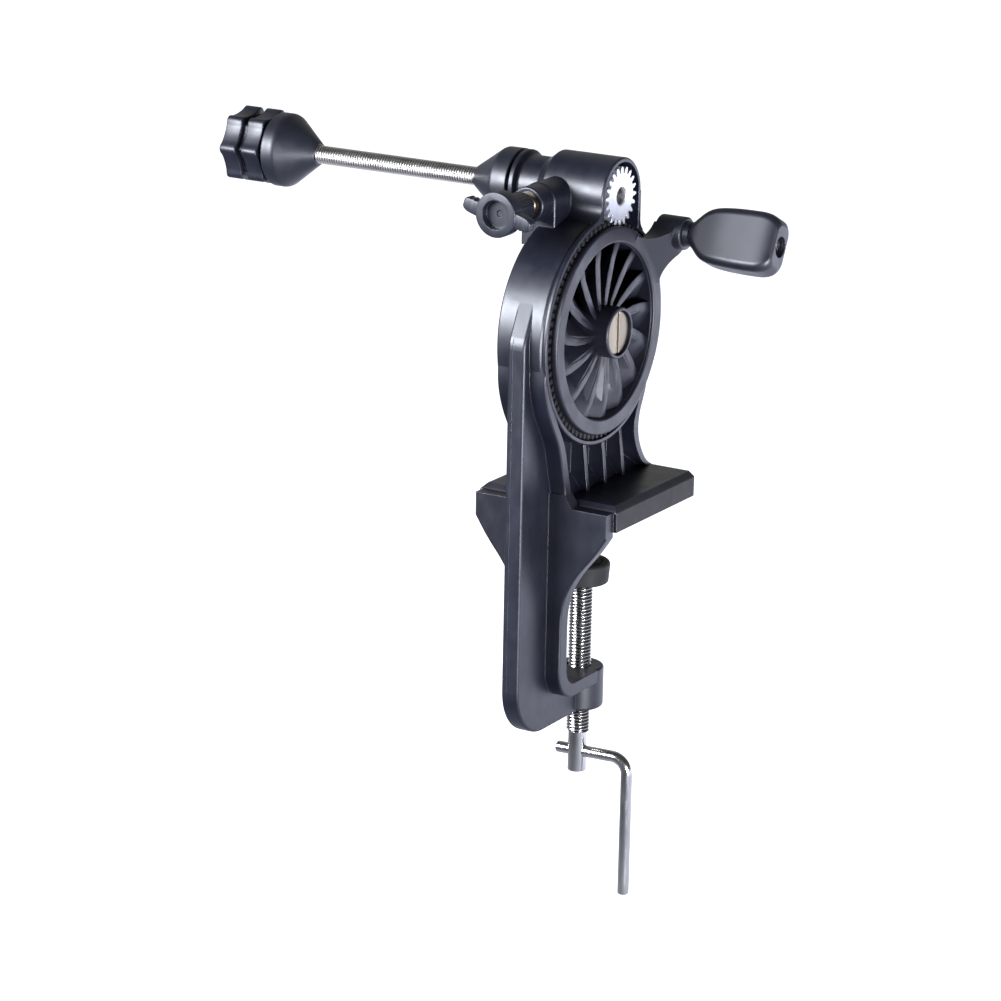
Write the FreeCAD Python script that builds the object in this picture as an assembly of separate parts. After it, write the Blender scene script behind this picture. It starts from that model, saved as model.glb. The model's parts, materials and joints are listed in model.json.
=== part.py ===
import FreeCAD, Part
import math
import os

# Fishing line winder with a table clamp. All sizes are in millimetres.
# X runs along the spool rod from the star knob to the crank, Y runs over the table, Z is up.
# The origin is on the clamp screw's axis, on the underside of the upper jaw.

# Clearances between pieces
running_gap = 0.05
sliding_gap = 0.04
seat_gap = 0.02
face_gap = 0.3
free_gap = 0.4
washer_play = 0.2
shoe_gap = 0.35
handle_play = 0.12

# How far a cutting shape runs past the face that it opens, and how far joined pieces run into each other
past = 1.0
overlap = 1.0

# Rounded edges of the mouldings
edge_round = 1.2
soft_edge = 0.8
fine_edge = 0.6

# Gear pair and the two turning axes
gear_module = 1.125
gear_teeth = 79
pinion_teeth = 20
pressure_angle = math.radians(20)
gear_addendum = 1.0
gear_dedendum = 1.25
gear_backlash = 0.16
gear_width = 8.0
pinion_extra_width = 0.4
gear_ring_depth = 4.0
wheel_y = -6.4
wheel_z = 77.8
spindle_side_offset = 11.0

# Drum, barrel and collar of the frame
drum_half_depth = 11.75
drum_wall = 1.8
drum_gap = 0.6
drum_groove_width = 2.2
drum_groove_depth = 0.7
drum_groove_slope = 0.8
drum_back_wall = 2.6
axle_boss_r = 9.5
axle_boss_inset = 10.55
arch_gap = 1.925
arch_wall = 1.9
arch_depth = 10.2
arch_flare_r = 6.5
barrel_overhang = 5.25
barrel_taper = 5.0
collar_length = 17.9
collar_wall = 3.35
collar_rim_rise = 2.0
collar_rim_width = 2.2
collar_rim_slope = 1.6

# Side boss and wing screw
boss_setback = 0.75
boss_r = 7.5
boss_block_side = 0.4
boss_block_reach = 29.1
boss_reach = 38.1
tension_screw_r = 4.0
tension_insert_wall = 1.6
tension_insert_length = 11.0
tension_insert_recess = 0.4
shoe_wrap = 1.5
brake_shoe_length = 7.0
wing_hub_r = 6.2
wing_hub_length = 14.0
wing_gap = 4.2
wing_disc_r = 9.3
wing_disc_length = 6.6
wing_span_r = 15.9
wing_width = 6.4
wing_offset = 1.2
wing_tip_round = 1.6
wing_thickness = 4.6
wing_inset = 0.8
wing_tilt = -17.0
wing_recess_r = 6.0
wing_recess_depth = 3.6
wing_hole_r = 1.4
wing_cap = 0.5

# Neck of the frame. Its side outlines are shares of the way from the jaw up to the drum.
neck_step = 0.35
neck_web = 4.0
neck_flange = 4.2
neck_back_shape = ((0.577, 0.688), (0.361, 0.244), (0.170, 0.043))
neck_front_angle = -38.6
neck_front_shape = ((0.660, -11.5), (0.416, -11.8), (0.185, -7.8))
neck_front_end = 1.0
rib_thickness = 2.0
rib_ys = (-15.4, -0.4, 14.6)
rib_foot_half_width = 10.4
rib_top_half_width = 6.8
rib_height = 29.3
neck_foot_half_width = 7.5
neck_foot_top_half_width = 2.0
neck_foot_rise = 7.0

# Jaws, apron and stem of the frame
jaw_half_length = 32.9
jaw_back = -30.0
jaw_front = 39.0
jaw_height = 10.7
jaw_bevel = 2.4
jaw_corner = 3.0
apron_half_length = 31.4
apron_thickness = 5.9
apron_top = 8.5
apron_shoulder = 3.6
apron_shoulder_rise = 5.4
apron_corner_z = -2.2
apron_narrow_z = -46.0
apron_shape = ((0.668, 0.224), (0.361, 0.404), (0.151, 0.580))
clamp_opening = 71.6
lower_jaw_thickness = 5.9
lower_bend_r = 7.6
lower_boss_wall = 3.25
lower_boss_height = 18.1
throat_side = 0.4
stem_half_width = 4.0
stem_proud = 3.64
stem_drop = 0.5
stem_bottom_round = 22.0
stem_top_round = 12.0
stem_top_rise = 3.0
stem_root = 2.5
stem_inner_round = 10.0
stem_ridge_angle = 152.0

# Clamp screw, pad and bar handle
screw_r = 5.0
screw_shank_step = 1.0
screw_tip_step = 1.8
screw_thread_below = 11.7
screw_shank_length = 18.3
insert_wall = 2.2
insert_lip = 2.0
insert_recess = 0.3
pad_top = -25.0
pad_r = 12.2
pad_height = 9.2
pad_cap = 2.4
pad_floor = 1.4
pad_side = 3.0
pad_taper = 0.8
pad_round = 1.6
pad_rings = (3.4, 6.0, 8.6)
pad_ring_width = 0.9
pad_ring_depth = 0.6
pad_plate_thickness = 2.0
pad_socket_side = 2.6
clip_thickness = 0.9
clip_side = 1.4
clip_groove_depth = 0.6
clip_groove_width = 1.1
tip_gap = 0.3
screw_neck_gap = 0.6
screw_neck_slope = 1.2
handle_r = 2.5
handle_above_end = 8.9
handle_back = -9.5
handle_reach = 23.6
handle_bend_r = 7.0
handle_drop = 62.0
handle_bevel = 0.5
handle_turn = 5.0

# Crank wheel
flange_step = 2.0
flange_width = 6.55
flange_stand = 2.49
flange_thickness = 2.4
rim_wall = 2.2
hub_r = 10.8
hub_stand = 7.15
hub_back = 0.0
hub_bush_wall = 2.0
axle_r = 4.0
axle_screw_head_r = 9.2
axle_screw_head = 2.2
axle_head_recess = 1.2
axle_head_side = 0.25
axle_tap_share = 0.6
axle_tap_depth = 9.0
axle_slot_width = 2.2
axle_slot_depth = 1.1
washer_thickness = 1.0
washer_step = 0.8
blade_count = 15
blade_thickness = 1.7
blade_front_inset = 2.64
blade_depth = 8.0
blade_lean = 20.0
blade_sweep = 15.0
blade_phase = 5.0
arm_angle = 39.9
arm_clearance = 0.55
arm_boss_r = 7.0
arm_boss_stand = 14.25
arm_boss_back_inset = 1.2
arm_reach = 11.45
arm_root_spread = 21.0
arm_root_inset = 1.6
arm_waist = 8.6
arm_waist_side = 0.6

# Grip
collar_thickness = 3.2
grip_length = 40.4
grip_half_width = 12.9
grip_half_thickness = 7.6
grip_neck = 6.2
grip_rest_turn = -25.0
grip_pin_r = 3.0
grip_pin_root = 2.0
grip_tap_share = 0.55
grip_tap_depth = 7.8
grip_collar_r = 5.6
grip_recess_r = 4.4
grip_recess_depth = 4.0
grip_screw_head = 1.8
grip_screw_side = 0.5
grip_slot_width = 1.0
grip_slot_depth = 0.8
grip_slot_turn = 30.0

# Rod, cones and star knob
rod_r = 4.0
rod_inset = 0.6
spool_length = 80.7
sleeve_wall = 2.0
sleeve_stand = 1.0
bush_wall = 3.0
rear_bush_length = 10.0
front_bush_length = 8.0
spindle_washer_r = 10.5
spindle_washer_thickness = 0.75
cone_wall = 0.8
inner_cone_length = 21.6
inner_cone_shoulder_length = 7.6
inner_cone_r = 14.5
inner_cone_round = 3.0
lock_nut_wall = 2.9
lock_nut_height = 5.0
lock_nut_side = 0.1
outer_cone_length = 20.6
outer_cone_shoulder_length = 5.7
outer_cone_r = 16.0
outer_cone_round = 4.0
knob_washer_r = 8.5
knob_washer_thickness = 1.6
knob_length = 19.2
knob_r = 16.8
knob_scallop_r = 4.6
knob_scallop_depth = 2.5
knob_lobes = 7
knob_phase = 24.6
knob_round = 1.4
knob_groove = 3.2
knob_groove_depth = 3.4
knob_insert_wall = 2.4
knob_insert_recess = 0.4

# Places and sizes of the gears, the drum and the barrel that follow from the ones above
wheel_pitch_r = gear_module * gear_teeth / 2
pinion_pitch_r = gear_module * pinion_teeth / 2
centre_distance = wheel_pitch_r + pinion_pitch_r
spindle_y = wheel_y + spindle_side_offset
spindle_z = wheel_z + math.sqrt(centre_distance**2 - spindle_side_offset**2)
mesh_angle = math.atan2(spindle_z - wheel_z, spindle_y - wheel_y)
gear_tip_r = wheel_pitch_r + gear_addendum * gear_module
gear_root_r = wheel_pitch_r - gear_dedendum * gear_module
pinion_tip_r = pinion_pitch_r + gear_addendum * gear_module
rim_r = gear_root_r - gear_ring_depth
gear_front = drum_half_depth - free_gap
gear_back = gear_front - gear_width
pinion_back = gear_back - pinion_extra_width
drum_bore_r = gear_tip_r + drum_gap
drum_r = drum_bore_r + drum_wall
axle_boss_front = -drum_half_depth + axle_boss_inset
arch_r = pinion_tip_r + arch_gap
barrel_r = arch_r + arch_wall
pocket_back = drum_half_depth - arch_depth
barrel_back = -drum_half_depth - barrel_overhang
collar_start = barrel_back - barrel_taper
collar_end = barrel_back - collar_length
sleeve_r = rod_r + sleeve_wall
bush_outer_r = sleeve_r + running_gap + bush_wall
collar_r = bush_outer_r + collar_wall
collar_rim_r = collar_r + collar_rim_rise

# Places of the side boss, the neck and the clamp
boss_x = -drum_half_depth + boss_setback
barrel_side = spindle_y - bush_outer_r
boss_block_front = spindle_y - boss_block_reach
boss_end = spindle_y - boss_reach
boss_bore_r = tension_screw_r + running_gap + tension_insert_wall
tension_insert_back = boss_end + tension_insert_length
wing_hub_end = boss_end - wing_gap
wing_disc_end = wing_hub_end - wing_hub_length
wing_back = wing_disc_end - wing_disc_length
shoe_face = spindle_y - sleeve_r + shoe_wrap
shoe_back = shoe_face - brake_shoe_length
throat_y = jaw_back - apron_thickness
neck_half_width = drum_half_depth - neck_step
drum_side = wheel_y - drum_r
stem_front = drum_side - stem_proud
lower_jaw_top = -clamp_opening
lower_jaw_bottom = lower_jaw_top - lower_jaw_thickness
insert_r = screw_r + running_gap + insert_wall
lower_boss_r = insert_r + lower_boss_wall
lower_boss_bottom = lower_jaw_top - lower_boss_height
throat_half_width = lower_boss_r + throat_side
stem_bottom = lower_boss_bottom - stem_drop
screw_shank_r = screw_r - screw_shank_step
screw_tip_r = screw_r - screw_tip_step
screw_thread_bottom = lower_boss_bottom - screw_thread_below
screw_bottom = screw_thread_bottom - screw_shank_length
handle_z = screw_bottom + handle_above_end
pad_bottom = pad_top - pad_height
pad_plate_low = pad_bottom + pad_floor
pad_plate_top = pad_plate_low + pad_plate_thickness
pad_plate_r = pad_r - pad_side
pad_socket_r = screw_tip_r + pad_socket_side
pad_socket_top = pad_top - pad_cap
screw_tip_top = pad_socket_top - tip_gap
clip_groove_low = screw_tip_top - clip_groove_width

# Places of the wheel, the crank, the cones and the star knob
flange_r = gear_tip_r - flange_step
flange_inner_r = flange_r - flange_width
flange_front = drum_half_depth + flange_stand
flange_back = flange_front - flange_thickness
hub_front = drum_half_depth + hub_stand
hub_bush_r = axle_r + running_gap + hub_bush_wall
axle_head_front = hub_front - axle_head_recess
axle_head_back = axle_head_front - axle_screw_head
axle_washer_back = axle_head_back - washer_thickness
axle_tap_r = axle_r * axle_tap_share
head_room_back = axle_washer_back - face_gap
blade_front = flange_front - blade_front_inset
arm_back = drum_half_depth + arm_clearance
arm_boss_back = arm_back + arm_boss_back_inset
arm_boss_front = drum_half_depth + arm_boss_stand
crank_r = flange_r + arm_reach
pin_y = wheel_y + crank_r * math.cos(math.radians(arm_angle))
pin_z = wheel_z + crank_r * math.sin(math.radians(arm_angle))
grip_start = arm_boss_front + collar_thickness
grip_end = grip_start + grip_length
grip_seat = grip_end - grip_recess_depth
grip_tap_r = grip_pin_r * grip_tap_share
cone_tip_r = rod_r + cone_wall
cone_back = collar_end - sleeve_stand
inner_cone_tip = cone_back - inner_cone_length
inner_cone_shoulder = cone_back - inner_cone_shoulder_length
lock_nut_r = rod_r + lock_nut_wall
outer_cone_tip = inner_cone_tip - spool_length
outer_cone_back = outer_cone_tip - outer_cone_length
knob_right = outer_cone_back - knob_washer_thickness - seat_gap
knob_left = knob_right - knob_length
knob_insert_r = rod_r + running_gap + knob_insert_wall
rod_end = knob_left + rod_inset


def vec(x, y, z):
    return FreeCAD.Vector(x, y, z)


X_DIR = vec(1, 0, 0)
Y_DIR = vec(0, 1, 0)
Z_DIR = vec(0, 0, 1)


def rod_x(x0, x1, y, z, r):
    return Part.makeCylinder(r, x1 - x0, vec(x0, y, z), X_DIR)


def rod_y(y0, y1, x, z, r):
    return Part.makeCylinder(r, y1 - y0, vec(x, y0, z), Y_DIR)


def rod_z(z0, z1, r):
    """Cylinder on the clamp screw's axis."""
    return Part.makeCylinder(r, z1 - z0, vec(0, 0, z0), Z_DIR)


def block(x0, x1, y0, y1, z0, z1):
    return Part.makeBox(x1 - x0, y1 - y0, z1 - z0, vec(x0, y0, z0))


def tube_x(x0, x1, y, z, outer_r, inner_r):
    return rod_x(x0, x1, y, z, outer_r).cut(rod_x(x0 - past, x1 + past, y, z, inner_r))


def tube_z(z0, z1, outer_r, inner_r):
    return rod_z(z0, z1, outer_r).cut(rod_z(z0 - past, z1 + past, inner_r))


def join(shapes):
    return shapes[0].multiFuse(shapes[1:]).removeSplitter()


def rounded_edges(corners, place):
    """Lines and arcs of a closed outline; each corner is (u, v, radius)."""
    count = len(corners)
    stops = []
    for i in range(count):
        u, v, r = corners[i]
        before = corners[i - 1]
        after = corners[(i + 1) % count]
        here = vec(u, v, 0)
        if r == 0:
            stops.append((here, None, here))
            continue
        a = (vec(before[0], before[1], 0) - here).normalize()
        b = (vec(after[0], after[1], 0) - here).normalize()
        half = a.getAngle(b) / 2
        middle = (a + b).normalize()
        near = here + middle * (r / math.sin(half) - r)
        reach = r / math.tan(half)
        stops.append((here + a * reach, near, here + b * reach))
    edges = []
    for i in range(count):
        first, near, last = stops[i]
        if near is not None:
            edges.append(Part.Arc(*[place(p.x, p.y) for p in (first, near, last)]).toShape())
        following = stops[(i + 1) % count][0]
        if not following.isEqual(last, 1e-6):
            edges.append(Part.makeLine(place(last.x, last.y), place(following.x, following.y)))
    return edges


def face_of(edges):
    return Part.Face(Part.Wire(Part.__sortEdges__(edges)))


def prism_x(corners, x0, x1):
    """Outline in (y, z, radius) corners, drawn out along X."""
    face = face_of(rounded_edges(corners, lambda y, z: vec(x0, y, z)))
    return face.extrude(vec(x1 - x0, 0, 0))


def prism_y(corners, y0, y1):
    """Outline in (x, z, radius) corners, drawn out along Y."""
    face = face_of(rounded_edges(corners, lambda x, z: vec(x, y0, z)))
    return face.extrude(vec(0, y1 - y0, 0))


def prism_z(corners, z0, z1):
    """Outline in (x, y, radius) corners, drawn out along Z."""
    face = face_of(rounded_edges(corners, lambda x, y: vec(x, y, z0)))
    return face.extrude(vec(0, 0, z1 - z0))


def turned_x(corners, y, z):
    """Outline in (x, r, radius) corners, turned about the X axis through (y, z)."""
    face = face_of(rounded_edges(corners, lambda x, r: vec(x, y, z + r)))
    return face.revolve(vec(0, y, z), X_DIR, 360)


def turned_y(corners, x, z):
    """Outline in (y, r, radius) corners, turned about the Y axis through (x, z)."""
    face = face_of(rounded_edges(corners, lambda y, r: vec(x, y, z + r)))
    return face.revolve(vec(x, 0, z), Y_DIR, 360)


def turned_z(corners):
    """Outline in (r, z, radius) corners, turned about the clamp screw's axis."""
    face = face_of(rounded_edges(corners, lambda r, z: vec(r, 0, z)))
    return face.revolve(vec(0, 0, 0), Z_DIR, 360)


def curve(points, start_way, end_way):
    """Smooth curve through the points with the given directions at its ends."""
    line = Part.BSplineCurve()
    line.interpolate(Points=points, InitialTangent=start_way, FinalTangent=end_way)
    return line.toShape()


def lines_between(points):
    return [Part.makeLine(a, b) for a, b in zip(points, points[1:])]


def about_x(shape, y, z, degrees):
    turned = shape.copy()
    turned.rotate(vec(0, y, z), X_DIR, degrees)
    return turned


# Gears


def involute(angle):
    return math.tan(angle) - angle


def gear_outline(teeth, phase, y, z, x):
    """Edges of a spur gear's outline: each tooth has two involute flanks, a tip arc and a root arc."""
    pitch_r = gear_module * teeth / 2
    base_r = pitch_r * math.cos(pressure_angle)
    tip_r = pitch_r + gear_addendum * gear_module
    root_r = pitch_r - gear_dedendum * gear_module
    half_tooth = math.pi / (2 * teeth) - gear_backlash / (4 * pitch_r) + involute(pressure_angle)
    start_r = max(base_r, root_r)
    flank_steps = 3
    radii = [start_r + (tip_r - start_r) * step / flank_steps for step in range(flank_steps + 1)]

    def at(r, angle):
        return vec(x, y + r * math.cos(angle), z + r * math.sin(angle))

    def flank_angle(r):
        return half_tooth - involute(math.acos(min(1, base_r / r)))

    edges = []
    pitch_angle = 2 * math.pi / teeth
    for i in range(teeth):
        centre = phase + i * pitch_angle
        rising = [at(r, centre - flank_angle(r)) for r in radii]
        falling = [at(r, centre + flank_angle(r)) for r in reversed(radii)]
        foot = at(root_r, centre - flank_angle(start_r))
        far_foot = at(root_r, centre + flank_angle(start_r))
        if root_r < base_r:
            edges.append(Part.makeLine(foot, rising[0]))
            edges.append(Part.makeLine(falling[-1], far_foot))
        for flank in (rising, falling):
            line = Part.BSplineCurve()
            line.interpolate(flank)
            edges.append(line.toShape())
        edges.append(Part.Arc(rising[-1], at(tip_r, centre), falling[0]).toShape())
        gap_middle = at(root_r, centre + pitch_angle / 2)
        next_foot = at(root_r, centre + pitch_angle - flank_angle(start_r))
        edges.append(Part.Arc(far_foot, gap_middle, next_foot).toShape())
    return edges


def gear(teeth, phase, y, z, x0, x1):
    return face_of(gear_outline(teeth, phase, y, z, x0)).extrude(vec(x1 - x0, 0, 0))


# Frame


def neck_back_points(offset):
    """Rear outline of the neck, from the drum's side down to the apron, moved over by offset."""
    rise = wheel_z - apron_top
    reach = drum_side - throat_y
    points = [(drum_side + overlap, wheel_z), (drum_side + overlap, wheel_z - drum_r / 3)]
    for up, out in neck_back_shape:
        points.append((throat_y + out * reach, apron_top + up * rise))
    points.append((throat_y + soft_edge, apron_top))
    return [(y + offset, z) for y, z in points]


def neck_front_points(offset):
    """Front outline of the neck, from the drum's underside to the jaw's top, moved over by offset."""
    angle = math.radians(neck_front_angle)
    start_r = drum_r + soft_edge
    start_y = wheel_y + start_r * math.cos(angle)
    start_z = wheel_z + start_r * math.sin(angle)
    end_y = jaw_front - neck_front_end
    points = [(start_y, start_z)]
    for up, out in neck_front_shape:
        points.append((end_y + out, jaw_height + up * (start_z - jaw_height)))
    points.append((end_y, jaw_height))
    return [(y - offset, z) for y, z in points]


def neck_face(x, inset, low):
    """Side outline of the neck, drawn in by inset and closed below at the height low."""
    rear = [vec(x, y, z) for y, z in neck_back_points(inset)]
    front = [vec(x, y, z) for y, z in neck_front_points(inset)]
    rear_curve = curve(rear, vec(0, 0, -1), vec(0, 0, -1))
    front_curve = curve(front, vec(0, -0.3, -1), vec(0, 1, -0.5))
    rear_low = vec(x, rear[-1].y, low)
    front_low = vec(x, front[-1].y, low)
    edges = [rear_curve, front_curve, Part.makeLine(rear[0], front[0])]
    edges += lines_between([rear[-1], rear_low, front_low])
    if low < jaw_height:
        edges.append(Part.makeLine(front_low, front[-1]))
    return face_of(edges)


def neck():
    """Upright plate between the drum and the jaw: a web with a flange round it and three ribs on each side."""
    body = neck_face(-neck_half_width, 0, jaw_height / 2).extrude(vec(2 * neck_half_width, 0, 0))
    outline_edges = []
    for edge in body.Edges:
        box = edge.BoundBox
        if box.XLength < 1e-6 and edge.Curve.TypeId == "Part::GeomBSplineCurve":
            outline_edges.append(edge)
    body = body.makeFillet(soft_edge, outline_edges)
    drum = rod_x(-neck_half_width - past, neck_half_width + past, wheel_y, wheel_z, drum_r)
    recess = neck_face(0, neck_flange, jaw_height).extrude(vec(neck_half_width + past, 0, 0)).cut(drum)
    rib = [
        (0, jaw_height - past, 0),
        (rib_foot_half_width, jaw_height - past, 0),
        (rib_top_half_width, jaw_height + rib_height, 0),
        (0, jaw_height + rib_height, 0),
    ]
    foot = [
        (0, jaw_height - past, 0),
        (neck_foot_half_width, jaw_height - past, 0),
        (neck_foot_half_width, jaw_height, 0),
        (neck_foot_top_half_width, jaw_height + neck_foot_rise, 0),
        (0, jaw_height + neck_foot_rise, 0),
    ]
    kept = [prism_y(rib, y, y + rib_thickness) for y in rib_ys]
    kept.append(prism_y(foot, jaw_back, jaw_front))
    kept.append(block(-past, neck_web / 2, stem_front, jaw_front, 0, wheel_z))
    near = recess.cut(join(kept))
    far = near.mirror(vec(0, 0, 0), X_DIR)
    return body.cut(near).cut(far)


def apron():
    """Upright plate behind the table edge: wide at the jaw, narrow beside the screw."""
    width = apron_half_length - throat_half_width
    height = apron_corner_z - apron_narrow_z

    def side(sign):
        points = [vec(sign * apron_half_length, throat_y, apron_corner_z)]
        for out, down in apron_shape:
            x = throat_half_width + out * width
            points.append(vec(sign * x, throat_y, apron_corner_z - down * height))
        points.append(vec(sign * throat_half_width, throat_y, apron_narrow_z))
        return points

    def top(sign):
        shoulder_z = apron_top + apron_shoulder_rise
        return [
            vec(sign * apron_half_length, throat_y, apron_corner_z),
            vec(sign * apron_half_length, throat_y, apron_top),
            vec(sign * (neck_half_width + apron_shoulder), throat_y, apron_top),
            vec(sign * neck_half_width, throat_y, shoulder_z),
        ]

    edges = []
    for sign in (-1, 1):
        edges.append(curve(side(sign), vec(-sign * 0.55, 0, -0.84), vec(0, 0, -1)))
        edges += lines_between(top(sign))
    edges.append(Part.makeLine(top(-1)[-1], top(1)[-1]))
    edges.append(Part.makeLine(side(-1)[-1], side(1)[-1]))
    plate = face_of(edges).extrude(vec(0, apron_thickness, 0))
    back_edges = []
    for edge in plate.Edges:
        box = edge.BoundBox
        on_back = box.YMax < throat_y + 1e-3
        on_side = box.ZMax < apron_corner_z + 1e-3 and box.ZMax > apron_narrow_z + 1e-3
        if on_back and on_side:
            back_edges.append(edge)
    return plate.makeFillet(soft_edge, back_edges)


def throat():
    """Lower apron that bends into the lower jaw, with the screw's boss at its end."""
    outer_bend = lower_bend_r + lower_jaw_thickness
    top = apron_narrow_z + overlap
    corners = [
        (throat_y, top, 0),
        (throat_y, lower_jaw_bottom, outer_bend),
        (0, lower_jaw_bottom, 0),
        (0, lower_jaw_top, 0),
        (jaw_back, lower_jaw_top, lower_bend_r),
        (jaw_back, top, 0),
    ]
    bend = prism_x(corners, -throat_half_width, throat_half_width)
    outer_edges = []
    for edge in bend.Edges:
        box = edge.BoundBox
        outside = box.YMax < throat_y + 1e-3 or box.ZMax < lower_jaw_bottom + 1e-3
        on_bend = edge.Curve.TypeId == "Part::GeomCircle" and edge.Curve.Radius > lower_bend_r + past
        if box.XLength < 1e-6 and (outside or on_bend):
            outer_edges.append(edge)
    bend = bend.makeFillet(soft_edge, outer_edges)
    boss = turned_z([
        (0, lower_boss_bottom, 0),
        (lower_boss_r, lower_boss_bottom, edge_round),
        (lower_boss_r, lower_jaw_top, edge_round),
        (0, lower_jaw_top, 0),
    ])
    corner_block = block(-throat_half_width - past, throat_half_width + past, -lower_boss_r / 3, past,
                         lower_jaw_bottom - past, lower_jaw_top + past)
    boss_round = rod_z(lower_jaw_bottom - past, lower_jaw_top + past, lower_boss_r - fine_edge)
    return join([bend.cut(corner_block.cut(boss_round)), boss])


def stem():
    """Deep narrow rib down the clamp's back, with its outer corners rounded."""
    ridge = math.radians(stem_ridge_angle)
    ridge_y = wheel_y + drum_r * math.cos(ridge)
    ridge_z = wheel_z + drum_r * math.sin(ridge)
    inner_z = lower_jaw_top - lower_jaw_thickness / 2
    inner_y = throat_y + stem_root
    corners = [
        (stem_front, wheel_z + stem_top_rise, stem_top_round),
        (stem_front, stem_bottom, stem_bottom_round),
        (0, stem_bottom, 0),
        (0, inner_z, 0),
        (inner_y, inner_z, stem_inner_round),
        (inner_y, apron_top, 0),
    ]
    for y, z in reversed(neck_back_points(stem_root)[1:-2]):
        corners.append((y, z, 0))
    corners.append((ridge_y + stem_root, ridge_z - past, 0))
    corners.append((ridge_y, ridge_z, 0))
    body = prism_x(corners, -stem_half_width, stem_half_width)
    outer_edges = []
    for edge in body.Edges:
        box = edge.BoundBox
        on_side = box.XLength < 1e-6
        behind = box.YMin < stem_front + 1e-3 and box.ZMax < wheel_z + stem_top_rise
        below = box.ZMin < stem_bottom + 1e-3
        if on_side and (behind or below):
            outer_edges.append(edge)
    body = body.makeFillet(edge_round, outer_edges)
    beyond_boss = block(-throat_half_width, throat_half_width, 0, lower_boss_r, stem_bottom - past, 0)
    return body.cut(beyond_boss)


def upper_jaw():
    corners = [
        (-jaw_half_length, jaw_back, 0),
        (jaw_half_length, jaw_back, 0),
        (jaw_half_length, jaw_front, jaw_corner),
        (-jaw_half_length, jaw_front, jaw_corner),
    ]
    plate = prism_z(corners, 0, jaw_height)
    top_edges = [edge for edge in plate.Edges if edge.BoundBox.ZMin > jaw_height - 1e-3]
    return plate.makeChamfer(jaw_bevel, top_edges)


def drum():
    """Round casing with a groove near its front rim."""
    groove_back = drum_half_depth - drum_groove_width - drum_groove_slope
    return turned_x([
        (-drum_half_depth, 0, 0),
        (-drum_half_depth, drum_r, edge_round),
        (groove_back, drum_r, 0),
        (groove_back + drum_groove_slope, drum_r - drum_groove_depth, 0),
        (groove_back + 2 * drum_groove_slope, drum_r, 0),
        (drum_half_depth, drum_r, fine_edge),
        (drum_half_depth, 0, 0),
    ], wheel_y, wheel_z)


def barrel():
    """Long bearing housing above the drum: wide over the pinion, with a narrow collar behind."""
    rim_end = collar_end + collar_rim_width
    return turned_x([
        (collar_end, 0, 0),
        (collar_end, collar_rim_r, fine_edge),
        (rim_end, collar_rim_r, fine_edge),
        (rim_end + collar_rim_slope, collar_r, edge_round),
        (collar_start, collar_r, edge_round),
        (barrel_back, barrel_r, edge_round),
        (drum_half_depth, barrel_r, soft_edge),
        (drum_half_depth, 0, 0),
    ], spindle_y, spindle_z)


def pedestal():
    """Upright sides under the barrel, with hollow corners where they run out onto the drum."""
    x0 = -drum_half_depth + edge_round
    half = barrel_r - running_gap
    pieces = [block(x0, drum_half_depth, spindle_y - half, spindle_y + half, wheel_z, spindle_z)]
    for sign in (-1, 1):
        side_y = spindle_y + sign * half
        centre_y = side_y + sign * arch_flare_r
        centre_z = wheel_z + math.sqrt((drum_r + arch_flare_r)**2 - (centre_y - wheel_y)**2)
        centre = vec(x0, centre_y, centre_z)
        to_drum = vec(0, wheel_y - centre_y, wheel_z - centre_z).normalize()
        to_side = vec(0, -sign, 0)
        start = centre + to_side * arch_flare_r
        middle = centre + (to_side + to_drum).normalize() * arch_flare_r
        touch = centre + to_drum * arch_flare_r
        inner = vec(x0, wheel_y, wheel_z + drum_r / 2)
        edges = [Part.Arc(start, middle, touch).toShape()]
        edges += lines_between([touch, inner, vec(x0, wheel_y, centre_z), start])
        pieces.append(face_of(edges).extrude(vec(drum_half_depth - x0, 0, 0)))
    return join(pieces)


def side_boss():
    """Block on the drum's shoulder that carries the wing screw's round boss."""
    half = boss_r + boss_block_side
    block_top = turned_y([
        (boss_block_front, 0, 0),
        (boss_block_front, half, soft_edge),
        (barrel_side, half, 0),
        (barrel_side, 0, 0),
    ], boss_x, spindle_z)
    foot_z = wheel_z + 0.75 * drum_r
    upright = block(boss_x - half, boss_x + half, boss_block_front, barrel_side, foot_z, spindle_z)
    corner_edges = []
    for edge in upright.Edges:
        box = edge.BoundBox
        if box.YMax < boss_block_front + 1e-3 and box.XLength < 1e-6:
            corner_edges.append(edge)
    upright = upright.makeFillet(soft_edge, corner_edges)
    round_boss = turned_y([
        (boss_end, 0, 0),
        (boss_end, boss_r, soft_edge),
        (barrel_side, boss_r, 0),
        (barrel_side, 0, 0),
    ], boss_x, spindle_z)
    return join([block_top, upright, round_boss])


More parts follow.
